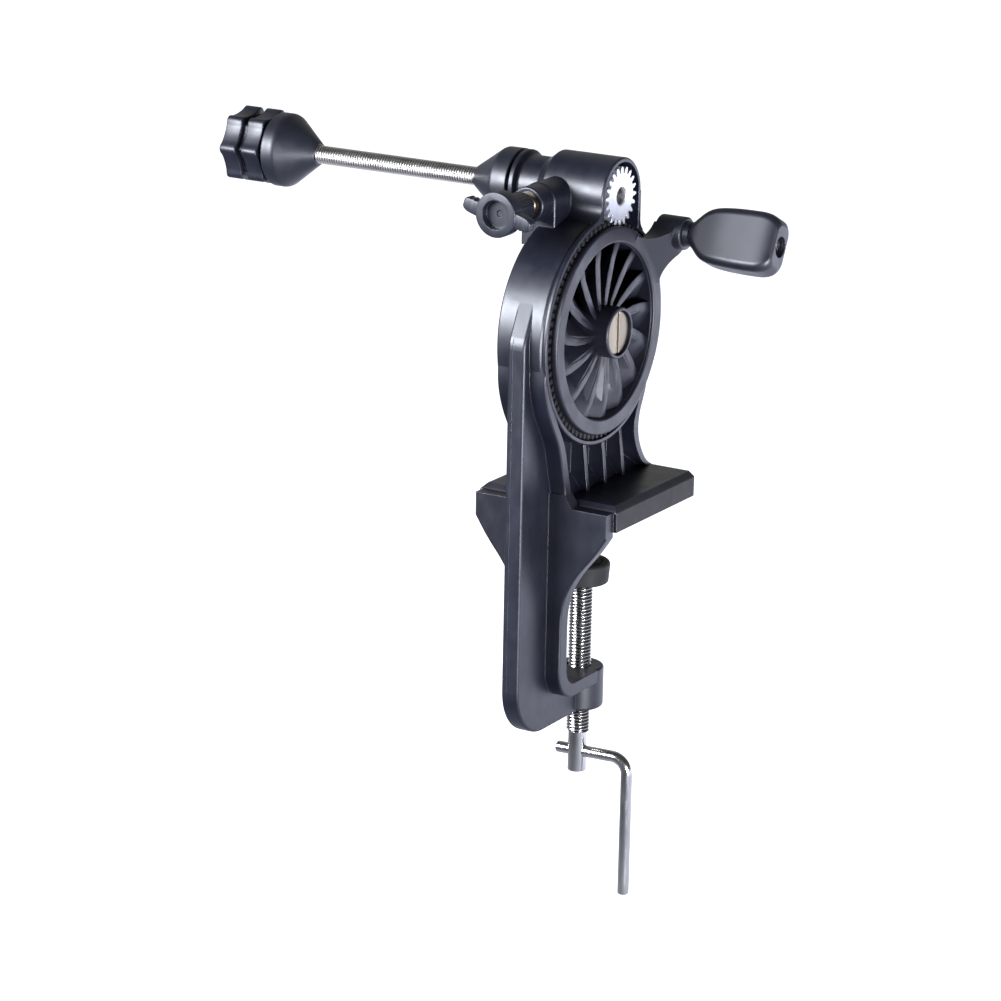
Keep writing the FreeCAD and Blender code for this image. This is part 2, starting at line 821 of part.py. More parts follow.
def main_frame():
    mouldings = [drum(), barrel(), pedestal(), side_boss(), neck(), upper_jaw(), apron(), throat(), stem()]
    body = join(mouldings)
    front = drum_half_depth + past
    drum_bore = rod_x(-drum_half_depth + drum_back_wall, front, wheel_y, wheel_z, drum_bore_r)
    arch = join([
        rod_x(pocket_back, front, spindle_y, spindle_z, arch_r),
        block(pocket_back, front, spindle_y - arch_r, spindle_y + arch_r, wheel_z, spindle_z),
    ])
    bush_seat_r = bush_outer_r + seat_gap
    shoe_bore_r = tension_screw_r + running_gap + sliding_gap
    barrel_bore = rod_x(collar_end - past, pocket_back + past, spindle_y, spindle_z, bush_seat_r)
    shoe_bore = rod_y(boss_end - past, spindle_y, boss_x, spindle_z, shoe_bore_r)
    insert_bore = rod_y(boss_end - past, tension_insert_back, boss_x, spindle_z, boss_bore_r + seat_gap)
    body = body.cut(drum_bore).cut(arch).cut(barrel_bore).cut(shoe_bore).cut(insert_bore)
    axle_boss = rod_x(-drum_half_depth, axle_boss_front, wheel_y, wheel_z, axle_boss_r)
    axle_hole = rod_x(-drum_half_depth - past, axle_boss_front + past, wheel_y, wheel_z, axle_r + seat_gap)
    body = body.fuse(axle_boss).cut(axle_hole)
    clamp_hole = rod_z(lower_boss_bottom - past, lower_jaw_top - insert_lip, insert_r + seat_gap)
    lip_hole = rod_z(lower_boss_bottom - past, lower_jaw_top + past, screw_r + free_gap)
    return body.cut(clamp_hole).cut(lip_hole).removeSplitter()


def rear_bush():
    start = collar_end + free_gap
    return tube_x(start, start + rear_bush_length, spindle_y, spindle_z, bush_outer_r, sleeve_r + running_gap)


def front_bush():
    start = pocket_back - front_bush_length
    return tube_x(start, pocket_back, spindle_y, spindle_z, bush_outer_r, sleeve_r + running_gap)


def tension_insert():
    outer = rod_y(boss_end + tension_insert_recess, tension_insert_back, boss_x, spindle_z, boss_bore_r)
    bore_r = tension_screw_r + running_gap
    return outer.cut(rod_y(boss_end - past, tension_insert_back + past, boss_x, spindle_z, bore_r))


def clamp_insert():
    bottom = lower_boss_bottom + insert_recess
    return tube_z(bottom, lower_jaw_top - insert_lip, insert_r, screw_r + running_gap)


# Crank


def crank_axle():
    """Fixed shaft with a tapped front end for the slotted screw."""
    shaft = rod_x(-drum_half_depth + free_gap, axle_washer_back, wheel_y, wheel_z, axle_r)
    return shaft.cut(rod_x(axle_washer_back - axle_tap_depth, hub_front, wheel_y, wheel_z, axle_tap_r))


def crank_axle_screw():
    head = turned_x([
        (axle_head_back, 0, 0),
        (axle_head_back, axle_screw_head_r, 0),
        (axle_head_front, axle_screw_head_r, fine_edge),
        (axle_head_front, 0, 0),
    ], wheel_y, wheel_z)
    thread_end = axle_washer_back - axle_tap_depth + free_gap
    thread = rod_x(thread_end, axle_head_back, wheel_y, wheel_z, axle_tap_r - seat_gap)
    half = axle_slot_width / 2
    slot = block(axle_head_front - axle_slot_depth, hub_front, wheel_y - half, wheel_y + half,
                 wheel_z - axle_screw_head_r, wheel_z + axle_screw_head_r)
    return head.fuse(thread).cut(slot)


def axle_washer():
    outer_r = axle_screw_head_r - washer_step
    return tube_x(axle_washer_back, axle_head_back - seat_gap, wheel_y, wheel_z, outer_r, axle_tap_r + washer_play)


def hub_washer():
    start = axle_boss_front + seat_gap
    return tube_x(start, hub_back - face_gap, wheel_y, wheel_z, axle_boss_r, axle_r + washer_play)


def hub_bush():
    return tube_x(hub_back, head_room_back, wheel_y, wheel_z, hub_bush_r, axle_r + running_gap)


def blade(number):
    """One spoke: it leans back along the wheel's axis and sweeps from hub to rim."""
    angle = math.radians(number * 360 / blade_count + blade_phase)
    lean = math.radians(blade_lean)
    root = (hub_r - overlap, angle + math.radians(blade_sweep))
    tip = (flange_inner_r + overlap, angle)
    wires = []
    for r, turn in (root, tip):
        half = blade_thickness / 2 / r
        corners = (
            (blade_front, turn + half),
            (blade_front, turn - half),
            (blade_front - blade_depth, turn - lean - half),
            (blade_front - blade_depth, turn - lean + half),
        )
        points = [vec(x, wheel_y + r * math.cos(a), wheel_z + r * math.sin(a)) for x, a in corners]
        wires.append(Part.makePolygon(points + points[:1]))
    return Part.makeLoft(wires, True, True)


def arm_outline():
    """Arm seen along the axle: a wide root on the flange and hollow sides that meet the boss."""
    spread = math.radians(arm_root_spread)
    root_r = flange_r - arm_root_inset
    inner_r = flange_inner_r + overlap
    end_s = crank_r - overlap
    end_t = math.sqrt(arm_boss_r**2 - overlap**2)

    def at(s, t):
        return vec(arm_back, wheel_y + s, wheel_z + t)

    def on_circle(r, sign):
        return at(r * math.cos(spread), sign * r * math.sin(spread))

    edges = [Part.makeLine(at(end_s, -end_t), at(end_s, end_t))]
    for sign in (-1, 1):
        waist = at(crank_r - arm_waist, sign * (arm_boss_r + arm_waist_side))
        edges.append(Part.Arc(on_circle(root_r, sign), waist, at(end_s, sign * end_t)).toShape())
        edges.append(Part.makeLine(on_circle(root_r, sign), on_circle(inner_r, sign)))
    edges.append(Part.Arc(on_circle(inner_r, -1), at(inner_r, 0), on_circle(inner_r, 1)).toShape())
    return face_of(edges).extrude(vec(arm_boss_front - arm_back, 0, 0))


def crank_arm():
    """Arm from the wheel's rim out to the grip's pin, first built along +Y, then turned to its angle."""
    beyond = crank_r + arm_boss_r + past
    half = flange_r
    side_view = [
        (arm_back, flange_inner_r - arm_boss_r, 0),
        (flange_front, flange_inner_r - arm_boss_r, 0),
        (flange_front, flange_r - 5.0, 6.0),
        (arm_boss_front - 3.0, crank_r - arm_boss_r + 1.5, 5.0),
        (arm_boss_front - arm_boss_back_inset, beyond, 0),
        (arm_boss_back, beyond, 0),
        (arm_back, flange_r, 2.0),
    ]
    profile = face_of(rounded_edges(side_view, lambda x, s: vec(x, wheel_y + s, wheel_z - half)))
    boss = turned_x([
        (arm_boss_back, 0, 0),
        (arm_boss_back, arm_boss_r, soft_edge),
        (arm_boss_front, arm_boss_r, soft_edge),
        (arm_boss_front, 0, 0),
    ], wheel_y + crank_r, wheel_z)
    arm = join([arm_outline().common(profile.extrude(vec(0, 0, 2 * half))), boss])
    pin_hole = rod_x(arm_back, arm_boss_front + past, wheel_y + crank_r, wheel_z, grip_pin_r + seat_gap)
    return about_x(arm.cut(pin_hole), wheel_y, wheel_z, arm_angle)


def crank_wheel():
    flange = turned_x([
        (flange_back, flange_inner_r, 0),
        (flange_back, flange_r, 0),
        (flange_front, flange_r, soft_edge),
        (flange_front, flange_inner_r, soft_edge),
    ], wheel_y, wheel_z)
    rim = tube_x(gear_back - overlap, flange_back + overlap, wheel_y, wheel_z, rim_r, rim_r - rim_wall)
    hub = turned_x([
        (hub_back, 0, 0),
        (hub_back, hub_r, fine_edge),
        (hub_front, hub_r, soft_edge),
        (hub_front, 0, 0),
    ], wheel_y, wheel_z)
    blades = [blade(number) for number in range(blade_count)]
    body = join([flange, rim, hub] + blades + [crank_arm()])
    front = hub_front + past
    head_room = rod_x(head_room_back, front, wheel_y, wheel_z, axle_screw_head_r + axle_head_side)
    bore = rod_x(hub_back - past, front, wheel_y, wheel_z, hub_bush_r + seat_gap)
    return body.cut(head_room).cut(bore).removeSplitter()


def drive_gear():
    body = gear(gear_teeth, mesh_angle, wheel_y, wheel_z, gear_back, gear_front)
    return body.cut(rod_x(gear_back - past, gear_front + past, wheel_y, wheel_z, rim_r + seat_gap))


def grip_pin():
    pin = rod_x(arm_back + grip_pin_root, grip_seat - washer_play, pin_y, pin_z, grip_pin_r)
    return pin.cut(rod_x(grip_seat - grip_tap_depth, grip_end, pin_y, pin_z, grip_tap_r))


def grip_screw():
    head_end = grip_seat + grip_screw_head
    head = rod_x(grip_seat, head_end, pin_y, pin_z, grip_recess_r - grip_screw_side)
    thread = rod_x(grip_seat - grip_tap_depth + free_gap, grip_seat, pin_y, pin_z, grip_tap_r - seat_gap)
    half = grip_slot_width / 2
    slot = block(head_end - grip_slot_depth, grip_end, pin_y - half, pin_y + half,
                 pin_z - grip_recess_r, pin_z + grip_recess_r)
    return head.fuse(thread).cut(about_x(slot, pin_y, pin_z, grip_slot_turn))


def grip_collar():
    back = arm_boss_front + seat_gap
    front = grip_start - face_gap
    bore_r = grip_pin_r + seat_gap
    return turned_x([
        (back, bore_r, 0),
        (back, grip_collar_r, free_gap),
        (front, grip_collar_r - fine_edge, free_gap),
        (front, bore_r, 0),
    ], pin_y, pin_z)


def grip():
    """Flat paddle: narrow and round at the crank, wide and flat at its outer end."""
    stations = (
        (0.0, grip_neck - soft_edge, grip_neck - soft_edge, 0.97),
        (0.05, grip_neck + soft_edge, grip_neck, 0.9),
        (0.16, 0.80 * grip_half_width, 0.88 * grip_half_thickness, 0.62),
        (0.40, 0.965 * grip_half_width, grip_half_thickness, 0.45),
        (0.74, grip_half_width, grip_half_thickness, 0.45),
        (0.91, 0.93 * grip_half_width, 0.94 * grip_half_thickness, 0.5),
        (0.98, 0.78 * grip_half_width, 0.80 * grip_half_thickness, 0.6),
        (1.0, 0.66 * grip_half_width, 0.68 * grip_half_thickness, 0.7),
    )
    wires = []
    for share, half_w, half_t, roundness in stations:
        x = grip_start + share * grip_length
        r = roundness * min(half_w, half_t)
        corners = [(-half_t, -half_w, r), (half_t, -half_w, r), (half_t, half_w, r), (-half_t, half_w, r)]
        edges = rounded_edges(corners, lambda t, w: vec(x, pin_y + t, pin_z + w))
        wires.append(Part.Wire(Part.__sortEdges__(edges)))
    body = Part.makeLoft(wires, True, False)
    bore = rod_x(grip_start - past, grip_end + past, pin_y, pin_z, grip_pin_r + running_gap)
    recess = rod_x(grip_seat - washer_play - face_gap, grip_end + past, pin_y, pin_z, grip_recess_r)
    return about_x(body.cut(bore).cut(recess), pin_y, pin_z, grip_rest_turn)


# Spindle


def spindle_rod():
    return rod_x(rod_end, gear_front - face_gap, spindle_y, spindle_z, rod_r)


def spindle_sleeve():
    return tube_x(cone_back, pinion_back, spindle_y, spindle_z, sleeve_r, rod_r + seat_gap)


def pinion():
    phase = mesh_angle + math.pi + math.pi / pinion_teeth
    body = gear(pinion_teeth, phase, spindle_y, spindle_z, pinion_back, gear_front)
    bore = rod_x(pinion_back - past, gear_front + past, spindle_y, spindle_z, rod_r + seat_gap)
    return body.cut(bore)


def spindle_washer():
    front = collar_end - seat_gap
    start = front - spindle_washer_thickness
    return tube_x(start, front, spindle_y, spindle_z, spindle_washer_r, sleeve_r + washer_play)


def inner_cone():
    body = turned_x([
        (inner_cone_tip, 0, 0),
        (inner_cone_tip, cone_tip_r, fine_edge),
        (inner_cone_shoulder, inner_cone_r, inner_cone_round),
        (cone_back, inner_cone_r, fine_edge),
        (cone_back, 0, 0),
    ], spindle_y, spindle_z)
    bore = rod_x(inner_cone_tip - past, cone_back + past, spindle_y, spindle_z, rod_r + seat_gap)
    nut_start = cone_back - lock_nut_height - lock_nut_side
    nut_room = hex_prism(nut_start - lock_nut_side, cone_back + past, lock_nut_r + lock_nut_side)
    return body.cut(bore).cut(nut_room)


def hex_prism(x0, x1, flat_r):
    corner_r = flat_r / math.cos(math.radians(30))
    corners = []
    for i in range(6):
        angle = math.radians(60 * i)
        corners.append((spindle_y + corner_r * math.cos(angle), spindle_z + corner_r * math.sin(angle), 0))
    return prism_x(corners, x0, x1)


def cone_lock_nut():
    end = cone_back - lock_nut_side
    start = end - lock_nut_height
    bore = rod_x(start - past, end + past, spindle_y, spindle_z, rod_r + seat_gap)
    return hex_prism(start, end, lock_nut_r).cut(bore)


def outer_cone():
    body = turned_x([
        (outer_cone_tip, 0, 0),
        (outer_cone_tip, cone_tip_r, fine_edge),
        (outer_cone_back + outer_cone_shoulder_length, outer_cone_r, outer_cone_round),
        (outer_cone_back, outer_cone_r, soft_edge),
        (outer_cone_back, 0, 0),
    ], spindle_y, spindle_z)
    bore_r = rod_r + sliding_gap
    return body.cut(rod_x(outer_cone_back - past, outer_cone_tip + past, spindle_y, spindle_z, bore_r))


def knob_washer():
    start = outer_cone_back - knob_washer_thickness
    return tube_x(start, outer_cone_back, spindle_y, spindle_z, knob_washer_r, rod_r + washer_play)


def star_disc(r, x0, x1, corner):
    """Round knob section with a shallow hollow between each two lobes."""
    disc = turned_x([(x0, 0, 0), (x0, r, corner), (x1, r, corner), (x1, 0, 0)], spindle_y, spindle_z)
    hollow_at = r + knob_scallop_r - knob_scallop_depth
    hollows = []
    for i in range(knob_lobes):
        angle = math.radians(knob_phase + (i + 0.5) * 360 / knob_lobes)
        y = spindle_y + hollow_at * math.cos(angle)
        z = spindle_z + hollow_at * math.sin(angle)
        hollows.append(rod_x(x0 - past, x1 + past, y, z, knob_scallop_r))
    return disc.cut(join(hollows))


def clamp_knob():
    """Star knob: two lobed rings with a groove between them."""
    ring = (knob_length - knob_groove) / 2
    left = star_disc(knob_r, knob_left, knob_left + ring, knob_round)
    right = star_disc(knob_r, knob_right - ring, knob_right, knob_round)
    core = star_disc(knob_r - knob_groove_depth, knob_left + overlap, knob_right - overlap, 0)
    room_r = knob_insert_r + seat_gap
    insert_room = rod_x(knob_left - past, knob_right + past, spindle_y, spindle_z, room_r)
    return join([left, right, core]).cut(insert_room)


def knob_insert():
    start = knob_left + knob_insert_recess
    return tube_x(start, knob_right, spindle_y, spindle_z, knob_insert_r, rod_r + running_gap)


# Tension wing screw


def brake_shoe():
    """Plug whose face is hollowed to fit round the spindle's sleeve."""
    body = rod_y(shoe_back, shoe_face, boss_x, spindle_z, tension_screw_r + running_gap)
    half = 2 * tension_screw_r
    return body.cut(rod_x(boss_x - half, boss_x + half, spindle_y, spindle_z, sleeve_r + shoe_gap))


def tension_screw():
    start = wing_back + wing_recess_depth + wing_cap
    return rod_y(start, shoe_back - seat_gap, boss_x, spindle_z, tension_screw_r)


def wing_knob():
    """Round hub and disc with two flat wings that stand out from opposite sides."""
    body = turned_y([
        (wing_back, 0, 0),
        (wing_back, wing_disc_r, soft_edge),
        (wing_disc_end, wing_disc_r, soft_edge),
        (wing_disc_end + edge_round, wing_hub_r, soft_edge),
        (wing_hub_end, wing_hub_r, soft_edge),
        (wing_hub_end, 0, 0),
    ], boss_x, spindle_z)
    wings = []
    for sign in (-1, 1):
        near = sign * (wing_offset - wing_width / 2)
        far = sign * (wing_offset + wing_width / 2)
        outline = [
            (0, near, 0),
            (sign * wing_span_r, near, wing_tip_round),
            (sign * wing_span_r, far, wing_tip_round),
            (0, far, 0),
        ]
        start = wing_back + wing_inset
        bar = prism_y(outline, start, start + wing_thickness)
        bar.translate(vec(boss_x, 0, spindle_z))
        bar.rotate(vec(boss_x, 0, spindle_z), Y_DIR, -wing_tilt)
        wings.append(bar)
    recess_end = wing_back + wing_recess_depth
    recess = rod_y(wing_back - past, recess_end, boss_x, spindle_z, wing_recess_r)
    small_hole = rod_y(wing_back - past, recess_end + past, boss_x, spindle_z, wing_hole_r)
    bore = rod_y(recess_end + wing_cap, wing_hub_end + past, boss_x, spindle_z, tension_screw_r + seat_gap)
    return join([body] + wings).cut(recess).cut(small_hole).cut(bore)


# Clamp screw, pad and handle


def clamp_screw():
    """Threaded stretch over a smooth shank, with a thinner tip that the pad turns on."""
    neck_bottom = pad_bottom + screw_neck_gap
    groove_r = screw_tip_r - clip_groove_depth
    body = turned_z([
        (0, screw_bottom, 0),
        (screw_shank_r, screw_bottom, soft_edge),
        (screw_shank_r, screw_thread_bottom, 0),
        (screw_r, screw_thread_bottom + screw_shank_step, 0),
        (screw_r, neck_bottom - screw_neck_slope, 0),
        (screw_r - screw_shank_step, neck_bottom, 0),
        (screw_tip_r, neck_bottom, 0),
        (screw_tip_r, clip_groove_low, 0),
        (groove_r, clip_groove_low, 0),
        (groove_r, screw_tip_top, 0),
        (0, screw_tip_top, 0),
    ])
    hole = rod_x(-screw_r, screw_r, 0, handle_z, handle_r + handle_play)
    hole.rotate(vec(0, 0, 0), Z_DIR, handle_turn)
    return body.cut(hole)


def clamp_pad():
    """Rubber cap with rings on its pressing face and a socket for the steel plate."""
    body = turned_z([
        (0, pad_bottom, 0),
        (pad_r - pad_taper, pad_bottom, soft_edge),
        (pad_r, pad_top, pad_round),
        (0, pad_top, 0),
    ])
    for ring_r in pad_rings:
        half = pad_ring_width / 2
        body = body.cut(tube_z(pad_top - pad_ring_depth, pad_top + past, ring_r + half, ring_r - half))
    socket = rod_z(pad_bottom - past, pad_socket_top, pad_socket_r)
    plate_room = rod_z(pad_plate_low, pad_plate_top, pad_plate_r + seat_gap)
    return body.cut(socket).cut(plate_room)


def pad_plate():
    return tube_z(pad_plate_low + seat_gap, pad_plate_top - seat_gap, pad_plate_r, screw_tip_r + running_gap)


def pad_clip():
    low = clip_groove_low + sliding_gap
    inner_r = screw_tip_r - clip_groove_depth + seat_gap
    return tube_z(low, low + clip_thickness, screw_tip_r + clip_side, inner_r)


def clamp_handle():
    """Bent bar: its short arm goes through the screw and its long leg hangs down."""
    start = vec(handle_back, 0, handle_z)
    bend_start = vec(handle_reach - handle_bend_r, 0, handle_z)
    bend_end = vec(handle_reach, 0, handle_z - handle_bend_r)
    end = vec(handle_reach, 0, handle_z - handle_drop)
    dip = handle_bend_r * (1 - math.sqrt(0.5))
    bend_middle = vec(handle_reach - dip, 0, handle_z - dip)
    path = Part.Wire([
        Part.makeLine(start, bend_start),
        Part.Arc(bend_start, bend_middle, bend_end).toShape(),
        Part.makeLine(bend_end, end),
    ])
    ring = Part.Wire(Part.makeCircle(handle_r, start, X_DIR))
    bar = path.makePipeShell([ring], True, True)
    end_edges = []
    for edge in bar.Edges:
        box = edge.BoundBox
        if box.XMax < start.x + 1e-3 or box.ZMax < end.z + 1e-3:
            end_edges.append(edge)
    bar = bar.makeChamfer(handle_bevel, end_edges)
    bar.rotate(vec(0, 0, 0), Z_DIR, handle_turn)
    return bar


pieces = {
    "main_frame": main_frame,
    "rear_bush": rear_bush,
    "front_bush": front_bush,
    "tension_insert": tension_insert,
    "clamp_insert": clamp_insert,
    "crank_axle": crank_axle,
    "crank_axle_screw": crank_axle_screw,
    "axle_washer": axle_washer,
    "hub_washer": hub_washer,
    "hub_bush": hub_bush,
    "crank_wheel": crank_wheel,
    "drive_gear": drive_gear,
    "grip_pin": grip_pin,
    "grip_screw": grip_screw,
    "grip_collar": grip_collar,
    "grip": grip,
    "spindle_rod": spindle_rod,
    "spindle_sleeve": spindle_sleeve,
    "pinion": pinion,
    "spindle_washer": spindle_washer,
    "inner_cone": inner_cone,
    "cone_lock_nut": cone_lock_nut,
    "outer_cone": outer_cone,
    "knob_washer": knob_washer,
    "clamp_knob": clamp_knob,
    "knob_insert": knob_insert,
    "brake_shoe": brake_shoe,
    "tension_screw": tension_screw,
    "wing_knob": wing_knob,
    "clamp_screw": clamp_screw,
    "clamp_pad": clamp_pad,
    "pad_plate": pad_plate,
    "pad_clip": pad_clip,
    "clamp_handle": clamp_handle,
}

os.makedirs("parts", exist_ok=True)
for name, make in pieces.items():
    shape = make()
    solids = shape.Solids
    print(name, len(solids), "solid", round(shape.Volume), "mm3", "valid" if shape.isValid() else "NOT VALID")
    if len(solids) == 1:
        shape = solids[0]
    shape.exportStep("parts/" + name + ".step")
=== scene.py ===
# %% [markdown]
# # Fishing line winder with a table clamp
# This scene dresses the measured model of the winder: a black moulded frame with a drum, a crank wheel, a
# threaded spool rod and a table clamp. Every length is in metres. X runs along the spool rod from the star
# knob to the crank, Y runs over the table, and Z is up. The zero point is under the upper jaw, on the clamp
# screw.

# %% Load the measured model
import json
import math

import bpy
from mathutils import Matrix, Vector


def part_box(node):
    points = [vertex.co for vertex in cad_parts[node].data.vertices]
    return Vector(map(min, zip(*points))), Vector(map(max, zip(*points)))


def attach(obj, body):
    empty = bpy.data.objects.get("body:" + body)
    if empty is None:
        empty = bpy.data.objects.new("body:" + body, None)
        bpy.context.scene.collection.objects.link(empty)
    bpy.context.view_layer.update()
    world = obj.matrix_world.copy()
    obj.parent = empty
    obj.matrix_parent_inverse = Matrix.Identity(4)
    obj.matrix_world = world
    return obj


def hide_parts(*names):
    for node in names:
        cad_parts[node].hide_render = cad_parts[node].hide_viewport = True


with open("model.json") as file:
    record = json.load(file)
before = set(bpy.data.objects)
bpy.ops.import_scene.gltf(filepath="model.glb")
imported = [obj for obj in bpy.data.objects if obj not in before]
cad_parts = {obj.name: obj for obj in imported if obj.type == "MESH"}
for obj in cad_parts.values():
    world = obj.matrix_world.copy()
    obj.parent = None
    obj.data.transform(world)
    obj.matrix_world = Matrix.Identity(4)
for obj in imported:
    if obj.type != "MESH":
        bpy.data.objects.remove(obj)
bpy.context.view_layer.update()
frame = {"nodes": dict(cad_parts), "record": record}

MM = 0.001
nodes = frame["nodes"]

# %% [markdown]
# ## Where things are
# Nothing is typed twice that the model already knows. The axes of the wheel, the rod, the wing screw and
# the clamp screw are read from the boxes of the parts that turn on them, and so are the radii of the two
# threads, so a new size in the model moves the new pieces with it.

# %% Axes and end places read from the model
def low(node):
    return Vector(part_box(node)[0])


def high(node):
    return Vector(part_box(node)[1])


def middle(node):
    return (low(node) + high(node)) / 2


wheel_axis = middle("drive_gear")
rod_axis = middle("spindle_rod")
wing_axis = middle("tension_screw")
screw_axis = middle("clamp_screw")
rod_r = (high("spindle_rod").z - low("spindle_rod").z) / 2
clamp_r = high("clamp_screw").x
axes = {"wheel": wheel_axis, "rod": rod_axis, "wing screw": wing_axis, "clamp screw": screw_axis}
for name, place in axes.items():
    print(name, "axis at", [round(value / MM, 2) for value in place], "mm")
print("rod radius", round(rod_r / MM, 2), "mm, clamp screw radius", round(clamp_r / MM, 2), "mm")

# %% [markdown]
# ## The camera
# The picture is taken from a little above the table, from the crank's side, with a long lens. A long lens
# keeps upright lines nearly parallel, as in a catalogue picture. The camera is turned a degree about its
# own view.

# %% Camera
IMAGE_WIDTH = 1001
SENSOR_WIDTH = 36
FOCAL_PIXELS = 3596.22
AZIMUTH = math.radians(31.1)
ELEVATION = math.radians(16.5)
ROLL = math.radians(1.12)
DISTANCE = 1.4837
AIM = Vector((14.24, -6.44, 77.76)) * MM
AIM_RIGHT = 610.38 - IMAGE_WIDTH / 2
AIM_DOWN = 331.76 - IMAGE_WIDTH / 2

level_right = Vector((math.cos(AZIMUTH), math.sin(AZIMUTH), 0))
ahead = Vector((-math.sin(AZIMUTH), math.cos(AZIMUTH), 0))
view_way = ahead * math.cos(ELEVATION) - Vector((0, 0, math.sin(ELEVATION)))
level_up = level_right.cross(view_way)
camera_right = level_right * math.cos(ROLL) + level_up * math.sin(ROLL)
camera_up = level_up * math.cos(ROLL) - level_right * math.sin(ROLL)
aim_way = view_way * FOCAL_PIXELS + camera_right * AIM_RIGHT - camera_up * AIM_DOWN
bpy.ops.object.camera_add()
camera = bpy.context.object
camera.name = "catalogue_camera"
camera.location = AIM - aim_way * (DISTANCE / FOCAL_PIXELS)
turn = camera.matrix_world.to_3x3()
turn.col[0], turn.col[1], turn.col[2] = camera_right, camera_up, -view_way
camera.rotation_euler = turn.to_euler()
camera.data.sensor_width = SENSOR_WIDTH
camera.data.lens = FOCAL_PIXELS / IMAGE_WIDTH * SENSOR_WIDTH
camera.data.clip_start = 0.05
bpy.context.scene.camera = camera
print("camera at", [round(value, 3) for value in camera.location], "lens", round(camera.data.lens, 1), "mm")

# %% [markdown]
# ## Small helpers for material nodes
# A finish is a net of small nodes. Three kinds are used all over: a sum, a range of values spread over
# another range, and the reach of a vector along a way. Each could be added and wired by hand every time. A
# helper that does it in one line keeps the finishes readable.

# %% Node helpers
def math_node(tree, operation, a, b=None):
    """A sum with one or two values, each a number or a socket."""
    node = tree.nodes.new("ShaderNodeMath")
    node.operation = operation
    for socket, value in zip(node.inputs, (a, b)):
        if value is None:
            continue
        if isinstance(value, (int, float)):
            socket.default_value = value
        else:
            tree.links.new(value, socket)
    return node.outputs[0]


def spread(tree, value, from_low, from_high, to_low, to_high):
    """Spreads a socket's values from one range over another."""
    node = tree.nodes.new("ShaderNodeMapRange")
    numbers = (from_low, from_high, to_low, to_high)
    for name, number in zip(("From Min", "From Max", "To Min", "To Max"), numbers):
        node.inputs[name].default_value = number
    tree.links.new(value, node.inputs["Value"])
    return node.outputs["Result"]


def dot_with(tree, value, way):
    """How far a vector reaches along a way."""
    node = tree.nodes.new("ShaderNodeVectorMath")
    node.operation = "DOT_PRODUCT"
    node.inputs[1].default_value = way
    tree.links.new(value, node.inputs[0])
    return node.outputs["Value"]


# %% [markdown]
# ## Floor, sky and lamps
# Black plastic shows its shape only by what it mirrors. So the room that it mirrors is mostly dark, and two
# soft boxes draw the long highlights: a big one at the left, and a narrow one low at the right for the
# edges. The camera sees a plain white floor and sky. To the object the floor glows faintly in front and
# brightly at the back, which edges the lower faces with light. A floor that was white to the object too
# would turn the black grey.

# %% Floor
FLOOR_Z = -0.225
FLOOR_R = 14
FLOOR_PAINT = (0.5, 0.5, 0.51, 1)
GLOW_COLOUR = (0.80, 0.83, 1.0, 1)
GLOW_WAY = (0.52, 0.85, 0)
GLOW_START, GLOW_END = -0.2, 0.9
GLOW_FRONT, GLOW_BACK = 0.18, 3.4
bpy.ops.object.select_all(action="DESELECT")
bpy.ops.mesh.primitive_circle_add(vertices=64, radius=FLOOR_R, fill_type="NGON", location=(0, 0, FLOOR_Z))
floor = bpy.context.object
floor.name = "studio_floor"
paper = bpy.data.materials.new("pale_paper")
paper.use_nodes = True
tree = paper.node_tree
tree.nodes.clear()
white = tree.nodes.new("ShaderNodeEmission")
white.inputs["Color"].default_value = (1, 1, 1, 1)
painted = tree.nodes.new("ShaderNodeBsdfDiffuse")
painted.inputs["Color"].default_value = FLOOR_PAINT
glow = tree.nodes.new("ShaderNodeEmission")
glow.inputs["Color"].default_value = GLOW_COLOUR
floor_place = tree.nodes.new("ShaderNodeTexCoord")
backwards = dot_with(tree, floor_place.outputs["Object"], GLOW_WAY)
tree.links.new(spread(tree, backwards, GLOW_START, GLOW_END, GLOW_FRONT, GLOW_BACK), glow.inputs["Strength"])
for_camera = tree.nodes.new("ShaderNodeAddShader")
choice = tree.nodes.new("ShaderNodeMixShader")
seen = tree.nodes.new("ShaderNodeLightPath")
surface = tree.nodes.new("ShaderNodeOutputMaterial")
tree.links.new(white.outputs[0], for_camera.inputs[0])
tree.links.new(painted.outputs[0], for_camera.inputs[1])
tree.links.new(seen.outputs["Is Camera Ray"], choice.inputs[0])
tree.links.new(glow.outputs[0], choice.inputs[1])
tree.links.new(for_camera.outputs[0], choice.inputs[2])
tree.links.new(choice.outputs[0], surface.inputs["Surface"])
floor.data.materials.append(paper)
print(floor.name, "at", round(FLOOR_Z / MM), "mm")

# %% Sky
SKY_TILT = 0.15
SKY_START, SKY_END = 0.35, 0.95
SKY_FRONT, SKY_BACK = 0.08, 0.45
world = bpy.data.worlds.new("studio")
bpy.context.scene.world = world
world.use_nodes = True
tree = world.node_tree
tree.nodes.clear()
sky_place = tree.nodes.new("ShaderNodeTexCoord")
backwards = dot_with(tree, sky_place.outputs["Generated"], (view_way.x, view_way.y, SKY_TILT))
shade = spread(tree, backwards, SKY_START, SKY_END, SKY_FRONT, SKY_BACK)
shade.node.interpolation_type = "SMOOTHSTEP"
seen = tree.nodes.new("ShaderNodeLightPath")
pale = tree.nodes.new("ShaderNodeMix")
pale.data_type = "FLOAT"
pale.inputs["B"].default_value = 1.0
sky = tree.nodes.new("ShaderNodeBackground")
sky.inputs["Color"].default_value = (1, 1, 1, 1)
out = tree.nodes.new("ShaderNodeOutputWorld")
tree.links.new(seen.outputs["Is Camera Ray"], pale.inputs["Factor"])
tree.links.new(shade, pale.inputs["A"])
tree.links.new(pale.outputs[0], sky.inputs["Strength"])
tree.links.new(sky.outputs[0], out.inputs["Surface"])
print("sky from", SKY_FRONT, "in front to", SKY_BACK, "at the back")

